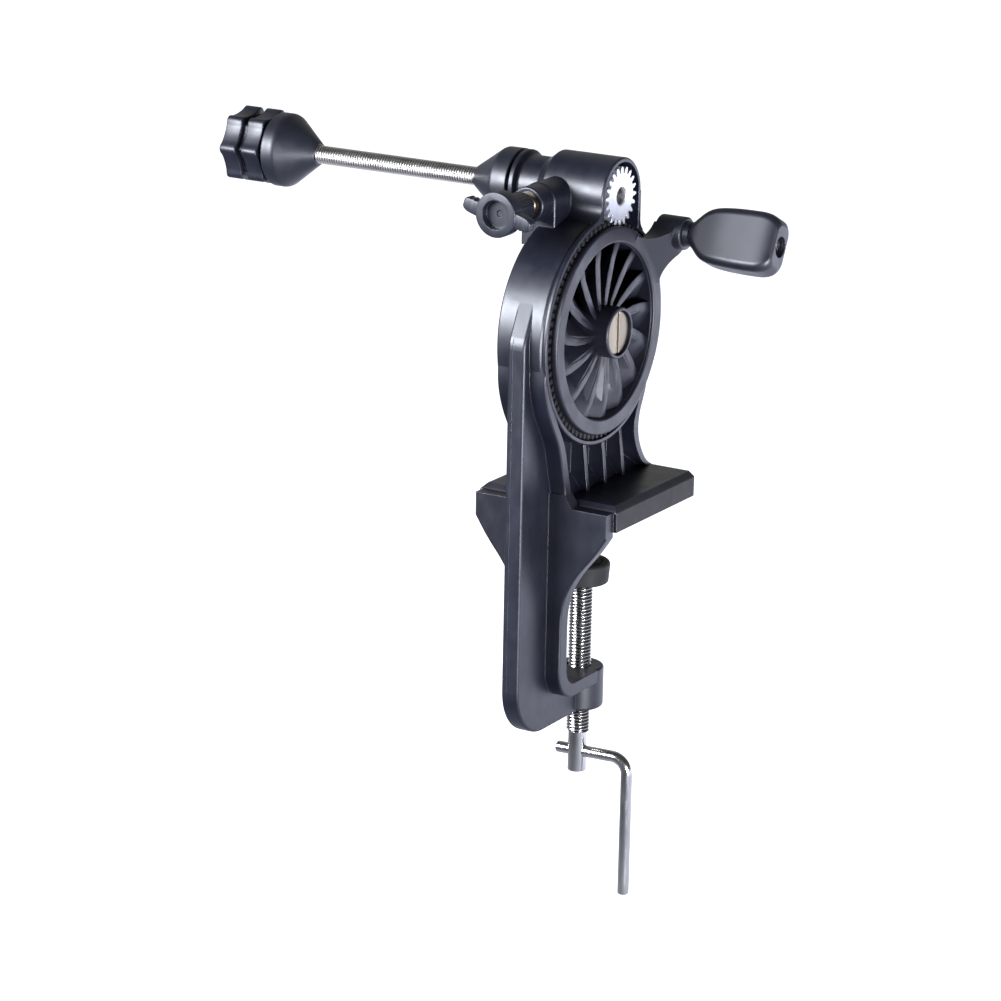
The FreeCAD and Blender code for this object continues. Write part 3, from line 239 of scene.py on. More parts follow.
# %% Lamps
LAMP_AIM = Vector((0, 0, 0.06))
LAMP_DISTANCE = 1.3


def soft_box(name, way, width, height, brightness, colour):
    """Rectangular lamp that faces the object; brightness is what a mirror would show of it."""
    bpy.ops.object.light_add(type="AREA", location=LAMP_AIM + Vector(way).normalized() * LAMP_DISTANCE)
    lamp = bpy.context.object
    lamp.name = name
    lamp.rotation_euler = (LAMP_AIM - lamp.location).to_track_quat("-Z", "Y").to_euler()
    lamp.data.shape = "RECTANGLE"
    lamp.data.size = width
    lamp.data.size_y = height
    lamp.data.energy = brightness * math.pi * width * height
    lamp.data.color = colour
    print(name, round(lamp.data.energy, 1), "W")


soft_box("left_soft_box", (-0.50, -0.83, 0.32), 1.0, 0.42, 50.0, (0.86, 0.90, 1.0))
soft_box("right_soft_box", (0.80, -0.52, -0.10), 0.6, 0.24, 90.0, (0.88, 0.91, 1.0))
bpy.context.scene.view_settings.view_transform = "Standard"

# %% [markdown]
# ## Surface effects that several finishes share
# A moulding is never quite even: its skin has a fine grain from the mould, and handling leaves faint marks
# that change its gloss. Edges rub smooth first. Each effect is a node group, so that every finish can use
# it with its own values. A group only puts out masks and heights; the shader itself stays in each material.

# %% Helpers that build node groups
BEVEL_SAMPLES = 4


def new_group(title, inlets, outlets):
    """Empty shader group with named sockets; returns the group and its two end nodes."""
    group = bpy.data.node_groups.new(title, "ShaderNodeTree")
    for name, kind, value in inlets:
        socket = group.interface.new_socket(name=name, in_out="INPUT", socket_type=kind)
        if value is not None:
            socket.default_value = value
    for name in outlets:
        group.interface.new_socket(name=name, in_out="OUTPUT", socket_type="NodeSocketFloat")
    return group, group.nodes.new("NodeGroupInput"), group.nodes.new("NodeGroupOutput")


def noise(tree, vector, scale, detail, stretch=None):
    """Noise texture on the given vector; scale is in waves per metre, or a socket."""
    if stretch:
        squeeze = tree.nodes.new("ShaderNodeVectorMath")
        squeeze.operation = "MULTIPLY"
        squeeze.inputs[1].default_value = stretch
        tree.links.new(vector, squeeze.inputs[0])
        vector = squeeze.outputs[0]
    texture = tree.nodes.new("ShaderNodeTexNoise")
    texture.inputs["Detail"].default_value = detail
    tree.links.new(vector, texture.inputs["Vector"])
    if isinstance(scale, (int, float)):
        texture.inputs["Scale"].default_value = scale
    else:
        tree.links.new(scale, texture.inputs["Scale"])
    return texture.outputs["Fac"]


# %% Group: skin of a moulding
WAVE_SCALE, WAVE_HEIGHT = 60, 0.6
STREAK_SCALE, STREAK_STRETCH = 190, (1, 1, 0.6)
skin, skin_in, skin_out = new_group("moulded_skin", [
    ("Vector", "NodeSocketVector", None),
    ("Grain Scale", "NodeSocketFloat", 1800.0),
], ["Height", "Tone", "Marks"])
grain = noise(skin, skin_in.outputs["Vector"], skin_in.outputs["Grain Scale"], 3)
waves = noise(skin, skin_in.outputs["Vector"], WAVE_SCALE, 2)
skin_height = math_node(skin, "MULTIPLY_ADD", waves, WAVE_HEIGHT)
skin.links.new(grain, skin_height.node.inputs[2])
streaks = noise(skin, skin_in.outputs["Vector"], STREAK_SCALE, 5, STREAK_STRETCH)
skin.links.new(skin_height, skin_out.inputs["Height"])
skin.links.new(waves, skin_out.inputs["Tone"])
skin.links.new(streaks, skin_out.inputs["Marks"])
print(skin.name, "has", len(skin.nodes), "nodes")

# %% Group: rubbed edges
EDGE_START, EDGE_FULL = 0.995, 0.86
PATCH_SCALE, PATCH_LOW, PATCH_HIGH, PATCH_LEAST = 420, 0.38, 0.62, 0.25
rubbed, rubbed_in, rubbed_out = new_group("rubbed_edges", [
    ("Vector", "NodeSocketVector", None),
    ("Radius", "NodeSocketFloat", 0.0006),
    ("Amount", "NodeSocketFloat", 0.5),
], ["Wear"])
round_off = rubbed.nodes.new("ShaderNodeBevel")
round_off.samples = BEVEL_SAMPLES
rubbed.links.new(rubbed_in.outputs["Radius"], round_off.inputs["Radius"])
facing = rubbed.nodes.new("ShaderNodeNewGeometry")
likeness = rubbed.nodes.new("ShaderNodeVectorMath")
likeness.operation = "DOT_PRODUCT"
rubbed.links.new(round_off.outputs[0], likeness.inputs[0])
rubbed.links.new(facing.outputs["Normal"], likeness.inputs[1])
edge = spread(rubbed, likeness.outputs["Value"], EDGE_START, EDGE_FULL, 0.0, 1.0)
patches = noise(rubbed, rubbed_in.outputs["Vector"], PATCH_SCALE, 3)
patches = spread(rubbed, patches, PATCH_LOW, PATCH_HIGH, PATCH_LEAST, 1.0)
wear = math_node(rubbed, "MULTIPLY", edge, patches)
wear = math_node(rubbed, "MULTIPLY", wear, rubbed_in.outputs["Amount"])
rubbed.links.new(wear, rubbed_out.inputs["Wear"])
print(rubbed.name, "has", len(rubbed.nodes), "nodes")

# %% Group: fine tool marks on turned or drawn metal
STAIN_SCALE, STAIN_LOW, STAIN_HIGH = 130, 0.35, 0.75
tooled, tooled_in, tooled_out = new_group("tool_marks", [
    ("Vector", "NodeSocketVector", None),
    ("Scale", "NodeSocketFloat", 900.0),
], ["Height", "Stain"])
lines = noise(tooled, tooled_in.outputs["Vector"], tooled_in.outputs["Scale"], 4)
stain = noise(tooled, tooled_in.outputs["Vector"], STAIN_SCALE, 4)
stain = spread(tooled, stain, STAIN_LOW, STAIN_HIGH, 0.0, 1.0)
tooled.links.new(lines, tooled_out.inputs["Height"])
tooled.links.new(stain, tooled_out.inputs["Stain"])
print(tooled.name, "has", len(tooled.nodes), "nodes")

# %% [markdown]
# ## Finishes
# Four families are enough: moulded black plastic, steel, cast zinc and brass, and rubber. The plastics
# differ in how dark and how glossy they are, as mouldings from different tools do. The ring gear's is
# darker only as painted shade. A picture could be wrapped round each piece, but patterns worked out from
# the place on the piece have no seams. They read the Object coordinates, so they stay still on their piece
# when the joints move.

# %% Helpers that start a finish
def use_group(tree, group, **values):
    """Places a group in a material; a value is a number or a socket."""
    node = tree.nodes.new("ShaderNodeGroup")
    node.node_tree = group
    for name, value in values.items():
        socket = node.inputs[name.replace("_", " ")]
        if isinstance(value, (int, float)):
            socket.default_value = value
        else:
            tree.links.new(value, socket)
    return node


def blend_colours(tree, factor, first, second):
    """Colour between two, each a colour or a socket."""
    mix = tree.nodes.new("ShaderNodeMix")
    mix.data_type = "RGBA"
    tree.links.new(factor, mix.inputs["Factor"])
    for socket, colour in ((mix.inputs["A"], first), (mix.inputs["B"], second)):
        if isinstance(colour, tuple):
            socket.default_value = (*colour, 1)
        else:
            tree.links.new(colour, socket)
    return mix.outputs["Result"]


def start_finish(name, stretch=(1, 1, 1)):
    """New material with its shader and its Object coordinates, stretched along a grain."""
    finish = bpy.data.materials.new(name)
    finish.use_nodes = True
    tree = finish.node_tree
    shader = tree.nodes["Principled BSDF"]
    where = tree.nodes.new("ShaderNodeTexCoord")
    mapping = tree.nodes.new("ShaderNodeMapping")
    mapping.inputs["Scale"].default_value = stretch
    tree.links.new(where.outputs["Object"], mapping.inputs["Vector"])
    return finish, tree, shader, mapping.outputs["Vector"]


def raise_grain(tree, shader, height, depth, edge_radius):
    """Bump over softly rounded edges."""
    rounding = tree.nodes.new("ShaderNodeBevel")
    rounding.samples = BEVEL_SAMPLES
    rounding.inputs["Radius"].default_value = edge_radius
    bump = tree.nodes.new("ShaderNodeBump")
    bump.inputs["Strength"].default_value = 1.0
    bump.inputs["Distance"].default_value = depth
    tree.links.new(height, bump.inputs["Height"])
    tree.links.new(rounding.outputs[0], bump.inputs["Normal"])
    tree.links.new(bump.outputs[0], shader.inputs["Normal"])


# %% Black moulded plastics
RUB_RADIUS = 0.6 * MM
PLASTIC_ROUNDING = 0.5 * MM
MIDDLE_GREYS = (0.3, 0.7)
WORN_GAIN, WORN_LIFT = 2.6, 0.01


def black_plastic(name, dark, light, gloss_low, gloss_high, wear=0.5, grain_scale=1800.0, depth=0.000012):
    """Satin moulding: two near blacks in soft clouds, uneven gloss, grey on rubbed edges."""
    finish, tree, shader, vector = start_finish(name)
    surface = use_group(tree, skin, Vector=vector, Grain_Scale=grain_scale)
    edges = use_group(tree, rubbed, Vector=vector, Radius=RUB_RADIUS, Amount=wear)
    body = blend_colours(tree, spread(tree, surface.outputs["Tone"], *MIDDLE_GREYS, 0.0, 1.0), dark, light)
    worn = tuple(WORN_GAIN * value + WORN_LIFT for value in light)
    tree.links.new(blend_colours(tree, edges.outputs["Wear"], body, worn), shader.inputs["Base Color"])
    gloss = spread(tree, surface.outputs["Marks"], *MIDDLE_GREYS, gloss_low, gloss_high)
    tree.links.new(gloss, shader.inputs["Roughness"])
    raise_grain(tree, shader, surface.outputs["Height"], depth, PLASTIC_ROUNDING)
    print(name, "gloss", gloss_low, "to", gloss_high)
    return finish


frame_plastic = black_plastic("frame_plastic", (0.0024, 0.0030, 0.0070), (0.0048, 0.0056, 0.0110), 0.35, 0.44)
# Painted shade: the ring gear's plastic is darker in place of the shade that falls behind the wheel.
shadowed_gear = black_plastic("shadowed_gear", (0.0012, 0.0012, 0.0016), (0.0030, 0.0030, 0.0038), 0.6, 0.75,
                              wear=0.1)
wheel_plastic = black_plastic("wheel_plastic", (0.0035, 0.0040, 0.0080), (0.0065, 0.0072, 0.0125), 0.40, 0.52)
grip_plastic = black_plastic("grip_plastic", (0.0028, 0.0033, 0.0070), (0.0055, 0.0062, 0.0110), 0.38, 0.46)
cone_plastic = black_plastic("cone_plastic", (0.0050, 0.0056, 0.0095), (0.0085, 0.0093, 0.0145), 0.36, 0.48)
knob_plastic = black_plastic("knob_plastic", (0.0030, 0.0036, 0.0075), (0.0058, 0.0066, 0.0120), 0.38, 0.47)
pad_rubber = black_plastic("pad_rubber", (0.0055, 0.0050, 0.0050), (0.0110, 0.0100, 0.0100), 0.62, 0.78,
                           wear=0.3, grain_scale=900.0, depth=0.00004)
pad_rubber.node_tree.nodes["Principled BSDF"].inputs["Specular IOR Level"].default_value = 0.35

# %% [markdown]
# ### Worn jaw plate and mould line
# Two marks are on the frame's own plastic. The plate of the upper jaw is duller and browner than the rest,
# and down the stem's front runs a fine raised line, where the two halves of the mould met. Wear is no shape
# at all, and the line stands only a tenth of a millimetre high. So both are masks made from the place on
# the frame: a colour and a roughness for the plate, and a height for the line.

# %% Places on the frame
def paint_tools(finish):
    """The tree and shader of a finish, and sockets with the X, Y and Z of each place."""
    tree = finish.node_tree
    place = tree.nodes.new("ShaderNodeTexCoord")
    split = tree.nodes.new("ShaderNodeSeparateXYZ")
    tree.links.new(place.outputs["Object"], split.inputs[0])
    return tree, tree.nodes["Principled BSDF"], split.outputs


def added_to(tree, mask, amount, socket):
    """A socket with a share of a mask on top of it."""
    total = math_node(tree, "MULTIPLY_ADD", mask, amount)
    tree.links.new(socket, total.node.inputs[2])
    return total


tree, shader, axis = paint_tools(frame_plastic)
print("frame finish has", len(tree.nodes), "nodes")

# %% Worn jaw plate
PLATE_COLOUR = (0.0060, 0.0052, 0.0050)
PLATE_ROUGHER = 0.3
PLATE_UNDERSIDE = (-0.4 * MM, 0.2 * MM)
PLATE_TOP = (8.6 * MM, 9.2 * MM)
PLATE_FRONT = (-30.0 * MM, -29.2 * MM)
under = spread(tree, axis["Z"], *PLATE_UNDERSIDE, 0.0, 1.0)
below_top = spread(tree, axis["Z"], *PLATE_TOP, 1.0, 0.0)
over_table = spread(tree, axis["Y"], *PLATE_FRONT, 0.0, 1.0)
plate = math_node(tree, "MULTIPLY", math_node(tree, "MULTIPLY", under, below_top), over_table)
body_colour = shader.inputs["Base Color"].links[0].from_socket
tree.links.new(blend_colours(tree, plate, body_colour, PLATE_COLOUR), shader.inputs["Base Color"])
body_gloss = shader.inputs["Roughness"].links[0].from_socket
tree.links.new(added_to(tree, plate, PLATE_ROUGHER, body_gloss), shader.inputs["Roughness"])
print("worn plate from", round(PLATE_UNDERSIDE[0] / MM, 1), "to", round(PLATE_TOP[1] / MM, 1), "mm high")

# %% Mould line
LINE_X = -1.7 * MM
LINE_HALF_WIDTH = (0.08 * MM, 0.22 * MM)
LINE_FRONT = (-57.0 * MM, -57.5 * MM)
LINE_HEIGHT = 9.0
from_line = math_node(tree, "ABSOLUTE", math_node(tree, "SUBTRACT", axis["X"], LINE_X))
line = spread(tree, from_line, *LINE_HALF_WIDTH, 1.0, 0.0)
line = math_node(tree, "MULTIPLY", line, spread(tree, axis["Y"], *LINE_FRONT, 0.0, 1.0))
bump = shader.inputs["Normal"].links[0].from_node
skin_relief = bump.inputs["Height"].links[0].from_socket
tree.links.new(added_to(tree, line, LINE_HEIGHT, skin_relief), bump.inputs["Height"])
print("mould line at", round(LINE_X / MM, 1), "mm")

# %% [markdown]
# ### Metals
# Metal shows its way of making. Drawn and rolled steel has fine lines along its length, and the cast pinion
# has an even, sandy skin. The same noise gives both: pressed flat along one axis it turns into lines.
# Stains change the colour a little, and edges shine where they rub.

# %% Metals
METAL_RUB_RADIUS = 0.4 * MM
METAL_WEAR = 0.6
POLISH_GAIN = 1.18


def metal(name, bright, dull, gloss_low, gloss_high, stretch, scale=900.0, depth=0.000008, edge=0.3 * MM):
    """Bare metal between two greys; stretch below one draws the marks out along that axis."""
    finish, tree, shader, vector = start_finish(name, stretch)
    marks = use_group(tree, tooled, Vector=vector, Scale=scale)
    edges = use_group(tree, rubbed, Vector=vector, Radius=METAL_RUB_RADIUS, Amount=METAL_WEAR)
    body = blend_colours(tree, marks.outputs["Stain"], bright, dull)
    polished = tuple(min(1.0, POLISH_GAIN * value) for value in bright)
    tree.links.new(blend_colours(tree, edges.outputs["Wear"], body, polished), shader.inputs["Base Color"])
    gloss = spread(tree, marks.outputs["Height"], *MIDDLE_GREYS, gloss_low, gloss_high)
    tree.links.new(gloss, shader.inputs["Roughness"])
    shader.inputs["Metallic"].default_value = 1.0
    raise_grain(tree, shader, marks.outputs["Height"], depth, edge)
    print(name, "gloss", gloss_low, "to", gloss_high)
    return finish


rod_steel = metal("rod_steel", (0.80, 0.78, 0.74), (0.58, 0.56, 0.52), 0.26, 0.40, (0.15, 1, 1),
                  edge=0.04 * MM)
screw_steel = metal("screw_steel", (0.56, 0.555, 0.54), (0.40, 0.395, 0.385), 0.15, 0.27, (1, 1, 0.15),
                    edge=0.04 * MM)
part_steel = metal("part_steel", (0.50, 0.50, 0.49), (0.34, 0.34, 0.335), 0.13, 0.24, (1, 1, 0.2))
gear_metal = metal("gear_metal", (0.80, 0.81, 0.84), (0.64, 0.66, 0.72), 0.42, 0.60, (1, 1, 1),
                   scale=2200.0, depth=0.00002)
brass = metal("brass", (0.27, 0.23, 0.17), (0.13, 0.115, 0.095), 0.30, 0.46, (1, 1, 0.08),
              scale=700.0, depth=0.000012)

# %% [markdown]
# ### Painted shade in the thread roots
# The roots of a rolled thread are painted darker than its crests. This is painted shade, so that the thread
# shows as fine lines in its highlight. The distance from the screw's own axis tells root from crest, so no
# drawing of the thread is needed.

# %% Painted shade in the thread roots
# Painted shade: the thread roots get this dark colour in place of the shade that falls in them.
ROOT_SHADE_PAINT = (0.085, 0.08, 0.075)
ROOT_SHARE, CREST_SHARE = 0.6, 0.15
THREAD_LOW = -101.4 * MM
SHANK_BLEND = 0.5 * MM
SHANK_START = THREAD_LOW + 0.4 * MM
ROD_PITCH = 1.25 * MM
CLAMP_PITCH = 1.5 * MM


def paint_root_shade(finish, centre, across, crest_r, pitch, smooth_below=None):
    """Painted shade near the axis; across holds a one for each axis that the screw doesn't run along."""
    tree, shader, axis = paint_tools(finish)
    place = tree.nodes.new("ShaderNodeTexCoord").outputs["Object"]
    for operation, value in (("SUBTRACT", centre), ("MULTIPLY", across)):
        step = tree.nodes.new("ShaderNodeVectorMath")
        step.operation = operation
        step.inputs[1].default_value = value
        tree.links.new(place, step.inputs[0])
        place = step.outputs["Vector"]
    reach = tree.nodes.new("ShaderNodeVectorMath")
    reach.operation = "LENGTH"
    tree.links.new(place, reach.inputs[0])
    root, crest = crest_r - ROOT_SHARE * pitch, crest_r - CREST_SHARE * pitch
    unshaded = spread(tree, reach.outputs["Value"], root, crest, 0.0, 1.0)
    if smooth_below is not None:
        shank = spread(tree, axis["Z"], smooth_below, smooth_below - SHANK_BLEND, 0.0, 1.0)
        unshaded = math_node(tree, "MAXIMUM", unshaded, shank)
    bright = shader.inputs["Base Color"].links[0].from_socket
    # Painted shade: near the axis the metal colour turns to the dark root colour.
    tree.links.new(blend_colours(tree, unshaded, ROOT_SHADE_PAINT, bright), shader.inputs["Base Color"])
    print(finish.name, "is dark", round(ROOT_SHARE * pitch / MM, 2), "mm under its crests")


# Both threads get painted shade in their roots.
paint_root_shade(rod_steel, rod_axis, (0, 1, 1), rod_r, ROD_PITCH)
paint_root_shade(screw_steel, screw_axis, (1, 1, 0), clamp_r, CLAMP_PITCH, SHANK_START)

# %% [markdown]
# ### Putting the finishes on
# Most parts keep the measured shape and only need their finish. The model's own list names a finish for
# each part, so one loop serves them all. The ring gear lies in the shade behind the wheel and gets a
# darker one.

# %% Finish of every node that stays
finishes = {
    "frame_plastic": frame_plastic, "wheel_plastic": wheel_plastic, "grip_plastic": grip_plastic,
    "cone_plastic": cone_plastic, "knob_plastic": knob_plastic, "pad_rubber": pad_rubber,
    "screw_steel": screw_steel, "part_steel": part_steel, "gear_metal": gear_metal, "brass": brass,
}
for row in frame["record"]["subparts"]:
    surface_slots = nodes[row["node"]].data.materials
    surface_slots.clear()
    surface_slots.append(finishes[row["material_slot"]])
nodes["drive_gear"].data.materials[0] = shadowed_gear

# %% [markdown]
# ## Modelling helpers
# Every new piece starts as a plain shape at its own size and place. Then its faces or points are picked by
# where they are, and pulled out or scaled in edit mode. They could be picked by number too, but a number
# says nothing to a reader and changes with every cut, while a place stays true.

# %% Helpers for modelling
MERGE = 0.002 * MM
EDGE_ROUND = 0.7 * MM


def focus(*pieces):
    """Goes to object mode with just these pieces selected and the first one active."""
    if bpy.context.mode != "OBJECT":
        bpy.ops.object.mode_set(mode="OBJECT")
    bpy.ops.object.select_all(action="DESELECT")
    for piece in pieces:
        piece.select_set(True)
    if pieces:
        bpy.context.view_layer.objects.active = pieces[0]


def begin(name, make, **options):
    """Adds a plain shape at its size and place, and keeps that place in its mesh."""
    focus()
    make(**options)
    piece = bpy.context.object
    piece.name = name
    bpy.ops.object.transform_apply(location=True, rotation=True, scale=True)
    return piece


def pick(piece, test, part="faces"):
    """Opens edit mode with only the faces, or the points, that pass the test; returns how many."""
    focus(piece)
    mesh = piece.data
    for group in (mesh.vertices, mesh.edges, mesh.polygons):
        group.foreach_set("select", [False] * len(group))
    by_face = part == "faces"
    chosen = 0
    for element in mesh.polygons if by_face else mesh.vertices:
        element.select = bool(test(element.center if by_face else element.co, element.normal))
        chosen += element.select
    bpy.context.tool_settings.mesh_select_mode = (not by_face, False, by_face)
    bpy.ops.object.mode_set(mode="EDIT")
    return chosen


def push(way):
    """Pulls the picked faces out as new walls, along a vector."""
    bpy.ops.mesh.extrude_region_move(TRANSFORM_OT_translate={"value": way})


def widen(centre, factors):
    """Scales what is picked, away from a centre."""
    bpy.ops.transform.resize(value=factors, center_override=centre)


def face_outwards():
    """Turns every face of the open mesh outwards."""
    bpy.ops.mesh.select_all(action="SELECT")
    bpy.ops.mesh.normals_make_consistent(inside=False)


def apply_modifier(piece, kind, **settings):
    """Adds a modifier with its settings and makes it part of the mesh."""
    focus(piece)
    bpy.ops.object.modifier_add(type=kind)
    modifier = piece.modifiers[-1]
    for name, value in settings.items():
        setattr(modifier, name, value)
    bpy.ops.object.modifier_apply(modifier=modifier.name)


def soften(piece, width, segments, angle=40):
    """Rounds every edge that is sharper than an angle."""
    apply_modifier(piece, "BEVEL", width=width, segments=segments, limit_method="ANGLE",
                   angle_limit=math.radians(angle), use_clamp_overlap=True)


def carve(piece, cutter):
    """Takes the cutter's shape out of the piece."""
    apply_modifier(piece, "BOOLEAN", operation="DIFFERENCE", solver="EXACT", object=cutter)
    bpy.data.objects.remove(cutter)


def unite(*pieces):
    """Joins pieces into the first one."""
    focus(*pieces)
    bpy.ops.object.join()
    return pieces[0]


def complete(piece, body, finish, slot, *replaced, smooth=38):
    """Closes the mesh, faces it outward, shades it, and puts it on its body with its finish."""
    focus(piece)
    bpy.ops.object.mode_set(mode="EDIT")
    bpy.ops.mesh.select_all(action="SELECT")
    bpy.ops.mesh.remove_doubles(threshold=MERGE)
    bpy.ops.mesh.normals_make_consistent(inside=False)
    bpy.ops.object.mode_set(mode="OBJECT")
    bpy.ops.object.shade_smooth_by_angle(angle=math.radians(smooth))
    piece.data.materials.clear()
    piece.data.materials.append(finish)
    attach(piece, body)
    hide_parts(*replaced)
    size = [round(value / MM, 1) for value in piece.dimensions]
    print(piece.name, len(piece.data.polygons), "faces,", size, "mm")
    return piece


# %% [markdown]
# ## Rolled threads
# The spool rod and the clamp screw are rolled steel, and the wing screw is brass. Rings set side by side
# would look like a thread from afar, but a real one climbs. So one tooth is drawn as a short line with a
# flat crest, exactly one pitch long, and wound up round the axis. Every turn meets the next, which makes
# the thread one skin, and its crests catch the light as fine bright lines.

# %% Thread helper
THREAD_DEPTH = 0.61
CREST_FLAT = 0.125
THREAD_SMOOTH = 60


def wind_thread(name, pitch, crest_r, length, steps=24):
    """Right-hand thread along Z, from zero to its length, closed at both ends."""
    half = pitch / 2
    piece = begin(name, bpy.ops.mesh.primitive_plane_add, size=pitch, location=(crest_r, 0, 0),
                  rotation=(math.pi / 2, 0, 0))
    pick(piece, lambda place, normal: place.x > crest_r, "points")
    bpy.ops.mesh.delete(type="VERT")
    bpy.ops.mesh.select_all(action="SELECT")
    bpy.ops.mesh.subdivide(number_cuts=2)
    bpy.ops.transform.translate(value=(half - THREAD_DEPTH * pitch, 0, 0))
    pick(piece, lambda place, normal: abs(place.z) < pitch / 4, "points")
    bpy.ops.transform.translate(value=(THREAD_DEPTH * pitch, 0, 0))
    widen((0, 0, 0), (1, 1, 3 * CREST_FLAT))
    apply_modifier(piece, "SCREW", axis="Z", angle=2 * math.pi, screw_offset=pitch, steps=steps,
                   render_steps=steps, iterations=math.ceil(length / pitch) + 2, use_merge_vertices=True,
                   merge_threshold=MERGE)
    bpy.ops.object.mode_set(mode="EDIT")
    bpy.ops.mesh.select_all(action="SELECT")
    bpy.ops.mesh.remove_doubles(threshold=MERGE)
    bpy.ops.transform.translate(value=(0, 0, -pitch))
    for height, way in ((0, -1), (length, 1)):
        bpy.ops.mesh.select_all(action="SELECT")
        bpy.ops.mesh.bisect(plane_co=(0, 0, height), plane_no=(0, 0, way), use_fill=True, clear_outer=True)
    bpy.ops.object.mode_set(mode="OBJECT")
    return piece


def lay_along(piece, angle, axis, start):
    """Turns a piece from Z onto its own line and moves its start to its place."""
    focus(piece)
    bpy.ops.object.mode_set(mode="EDIT")
    bpy.ops.mesh.select_all(action="SELECT")
    bpy.ops.transform.rotate(value=angle, orient_axis=axis, center_override=(0, 0, 0))
    bpy.ops.transform.translate(value=start)
    bpy.ops.object.mode_set(mode="OBJECT")


# %% Spool rod: M8 thread with a 1.25 mm pitch
rod_length = high("spindle_rod").x - low("spindle_rod").x
rod = wind_thread("threaded_spool_rod", ROD_PITCH, rod_r, rod_length)
lay_along(rod, -math.pi / 2, "Y", (low("spindle_rod").x, rod_axis.y, rod_axis.z))
complete(rod, "spindle", rod_steel, "screw_steel", "spindle_rod", smooth=THREAD_SMOOTH)

# %% Wing screw: the same thread, across the barrel
wing_screw_length = high("tension_screw").y - low("tension_screw").y
wing_thread = wind_thread("threaded_wing_screw", ROD_PITCH, rod_r, wing_screw_length)
lay_along(wing_thread, math.pi / 2, "X", (wing_axis.x, low("tension_screw").y, wing_axis.z))
complete(wing_thread, "wing", brass, "part_steel", "tension_screw", smooth=THREAD_SMOOTH)

# %% [markdown]
# ### Clamp screw
# The clamp screw is thicker and has a coarser thread. Above the thread a slim smooth tip holds the pad, and
# below it a smooth shank has a cross hole for the bar. One turned bar could be cut to all of this, but the
# thread's skin is easier to keep clean when the smooth core is a piece of its own inside it. The two are
# joined at the end.

# %% Clamp screw: thread
THREAD_HIGH = -35.1 * MM
clamp_thread = wind_thread("threaded_clamp_screw", CLAMP_PITCH, clamp_r, THREAD_HIGH - THREAD_LOW, 30)
lay_along(clamp_thread, 0, "Z", (0, 0, THREAD_LOW))
print("thread from", round(THREAD_LOW / MM, 1), "to", round(THREAD_HIGH / MM, 1), "mm")

# %% Clamp screw: smooth core with the bar's cross hole
SHANK_R = 4.0 * MM
TIP_R = 3.2 * MM
HOLE_R = 2.62 * MM
HOLE_Z = -110.8 * MM
HOLE_TURN = math.radians(5)
bottom, top = low("clamp_screw").z, high("clamp_screw").z
shank = begin("shank", bpy.ops.mesh.primitive_circle_add, vertices=48, radius=TIP_R, fill_type="NGON",
              location=(0, 0, top))
pick(shank, lambda place, normal: True)
push((0, 0, THREAD_HIGH + CLAMP_PITCH - top))
push((0, 0, 0))
widen((0, 0, THREAD_HIGH), (SHANK_R / TIP_R, SHANK_R / TIP_R, 1))
push((0, 0, bottom - THREAD_HIGH - CLAMP_PITCH))
face_outwards()
soften(shank, EDGE_ROUND, 3)
hole = begin("hole_cutter", bpy.ops.mesh.primitive_cylinder_add, vertices=32, radius=HOLE_R,
             depth=6 * SHANK_R, location=(0, 0, HOLE_Z), rotation=(0, math.pi / 2, HOLE_TURN))
carve(shank, hole)
clamp_thread = unite(clamp_thread, shank)
complete(clamp_thread, "screw", screw_steel, "screw_steel", "clamp_screw", smooth=THREAD_SMOOTH)

# %% [markdown]
# ## Star knob
# The knob that holds the spool has seven narrow round ridges with hollow faces between them, so that wet
# fingers can turn it. The ridges come from a round face whose points are drawn in between them, step by
# step.

# %% Star knob: outline with seven ridges
LOBES = 7
LOBE_RADII = [16.8, 16.65, 16.1, 15.4, 14.95, 14.68, 14.48, 14.36, 14.32]
LOBE_PHASE = math.radians(24.6)
half_lobe = len(LOBE_RADII) - 1
point_count = 2 * half_lobe * LOBES
knob_half = (high("clamp_knob").x - low("clamp_knob").x) / 2
knob_r = LOBE_RADII[0] * MM


def lobe_step(place):
    """How many points away from the nearest ridge this one is."""
    step = round((math.atan2(place.z, place.y) - LOBE_PHASE) / (2 * math.pi) * point_count) % (2 * half_lobe)
    return min(step, 2 * half_lobe - step)


knob = begin("star_knob_body", bpy.ops.mesh.primitive_circle_add, vertices=point_count, radius=knob_r,
             fill_type="NGON", rotation=(0, math.pi / 2, 0))
first = knob.data.vertices[0].co
lay_along(knob, math.atan2(first.z, first.y) - LOBE_PHASE, "X", (0, 0, 0))
ridge = knob.data.vertices[0].co
print("first ridge at", round(math.degrees(math.atan2(ridge.z, ridge.y)), 2), "degrees")
for step in range(1, half_lobe + 1):
    pick(knob, lambda place, normal: lobe_step(place) == step, "points")
    share = LOBE_RADII[step] / LOBE_RADII[0]
    widen((0, 0, 0), (1, share, share))

# %% [markdown]
# A deep groove splits the knob into two rings, which saves plastic and keeps the wall even. Half of the
# knob is pulled out from the middle of the groove and mirrored, so that both rings are alike. The dish in
# the outer face and the bore for the metal insert are round, so one turned cutter takes both out.

# %% Star knob: two rings
KNOB_GROOVE = 3.2 * MM
GROOVE_DEPTH = 3.4 * MM
pick(knob, lambda place, normal: True)
core = 1 - GROOVE_DEPTH / knob_r
widen((0, 0, 0), (1, core, core))
push((-KNOB_GROOVE / 2, 0, 0))
push((0, 0, 0))
widen((0, 0, 0), (1, 1 / core, 1 / core))
push((KNOB_GROOVE / 2 - knob_half, 0, 0))
pick(knob, lambda place, normal: place.x > -0.1 * MM and abs(normal.x) > 0.9)
bpy.ops.mesh.delete(type="FACE")
apply_modifier(knob, "MIRROR", use_axis=(True, False, False), use_clip=True, merge_threshold=0.01 * MM)
bpy.ops.object.mode_set(mode="EDIT")
face_outwards()
bpy.ops.object.mode_set(mode="OBJECT")
print("two rings", round((knob_half - KNOB_GROOVE / 2) / MM, 1), "mm wide")

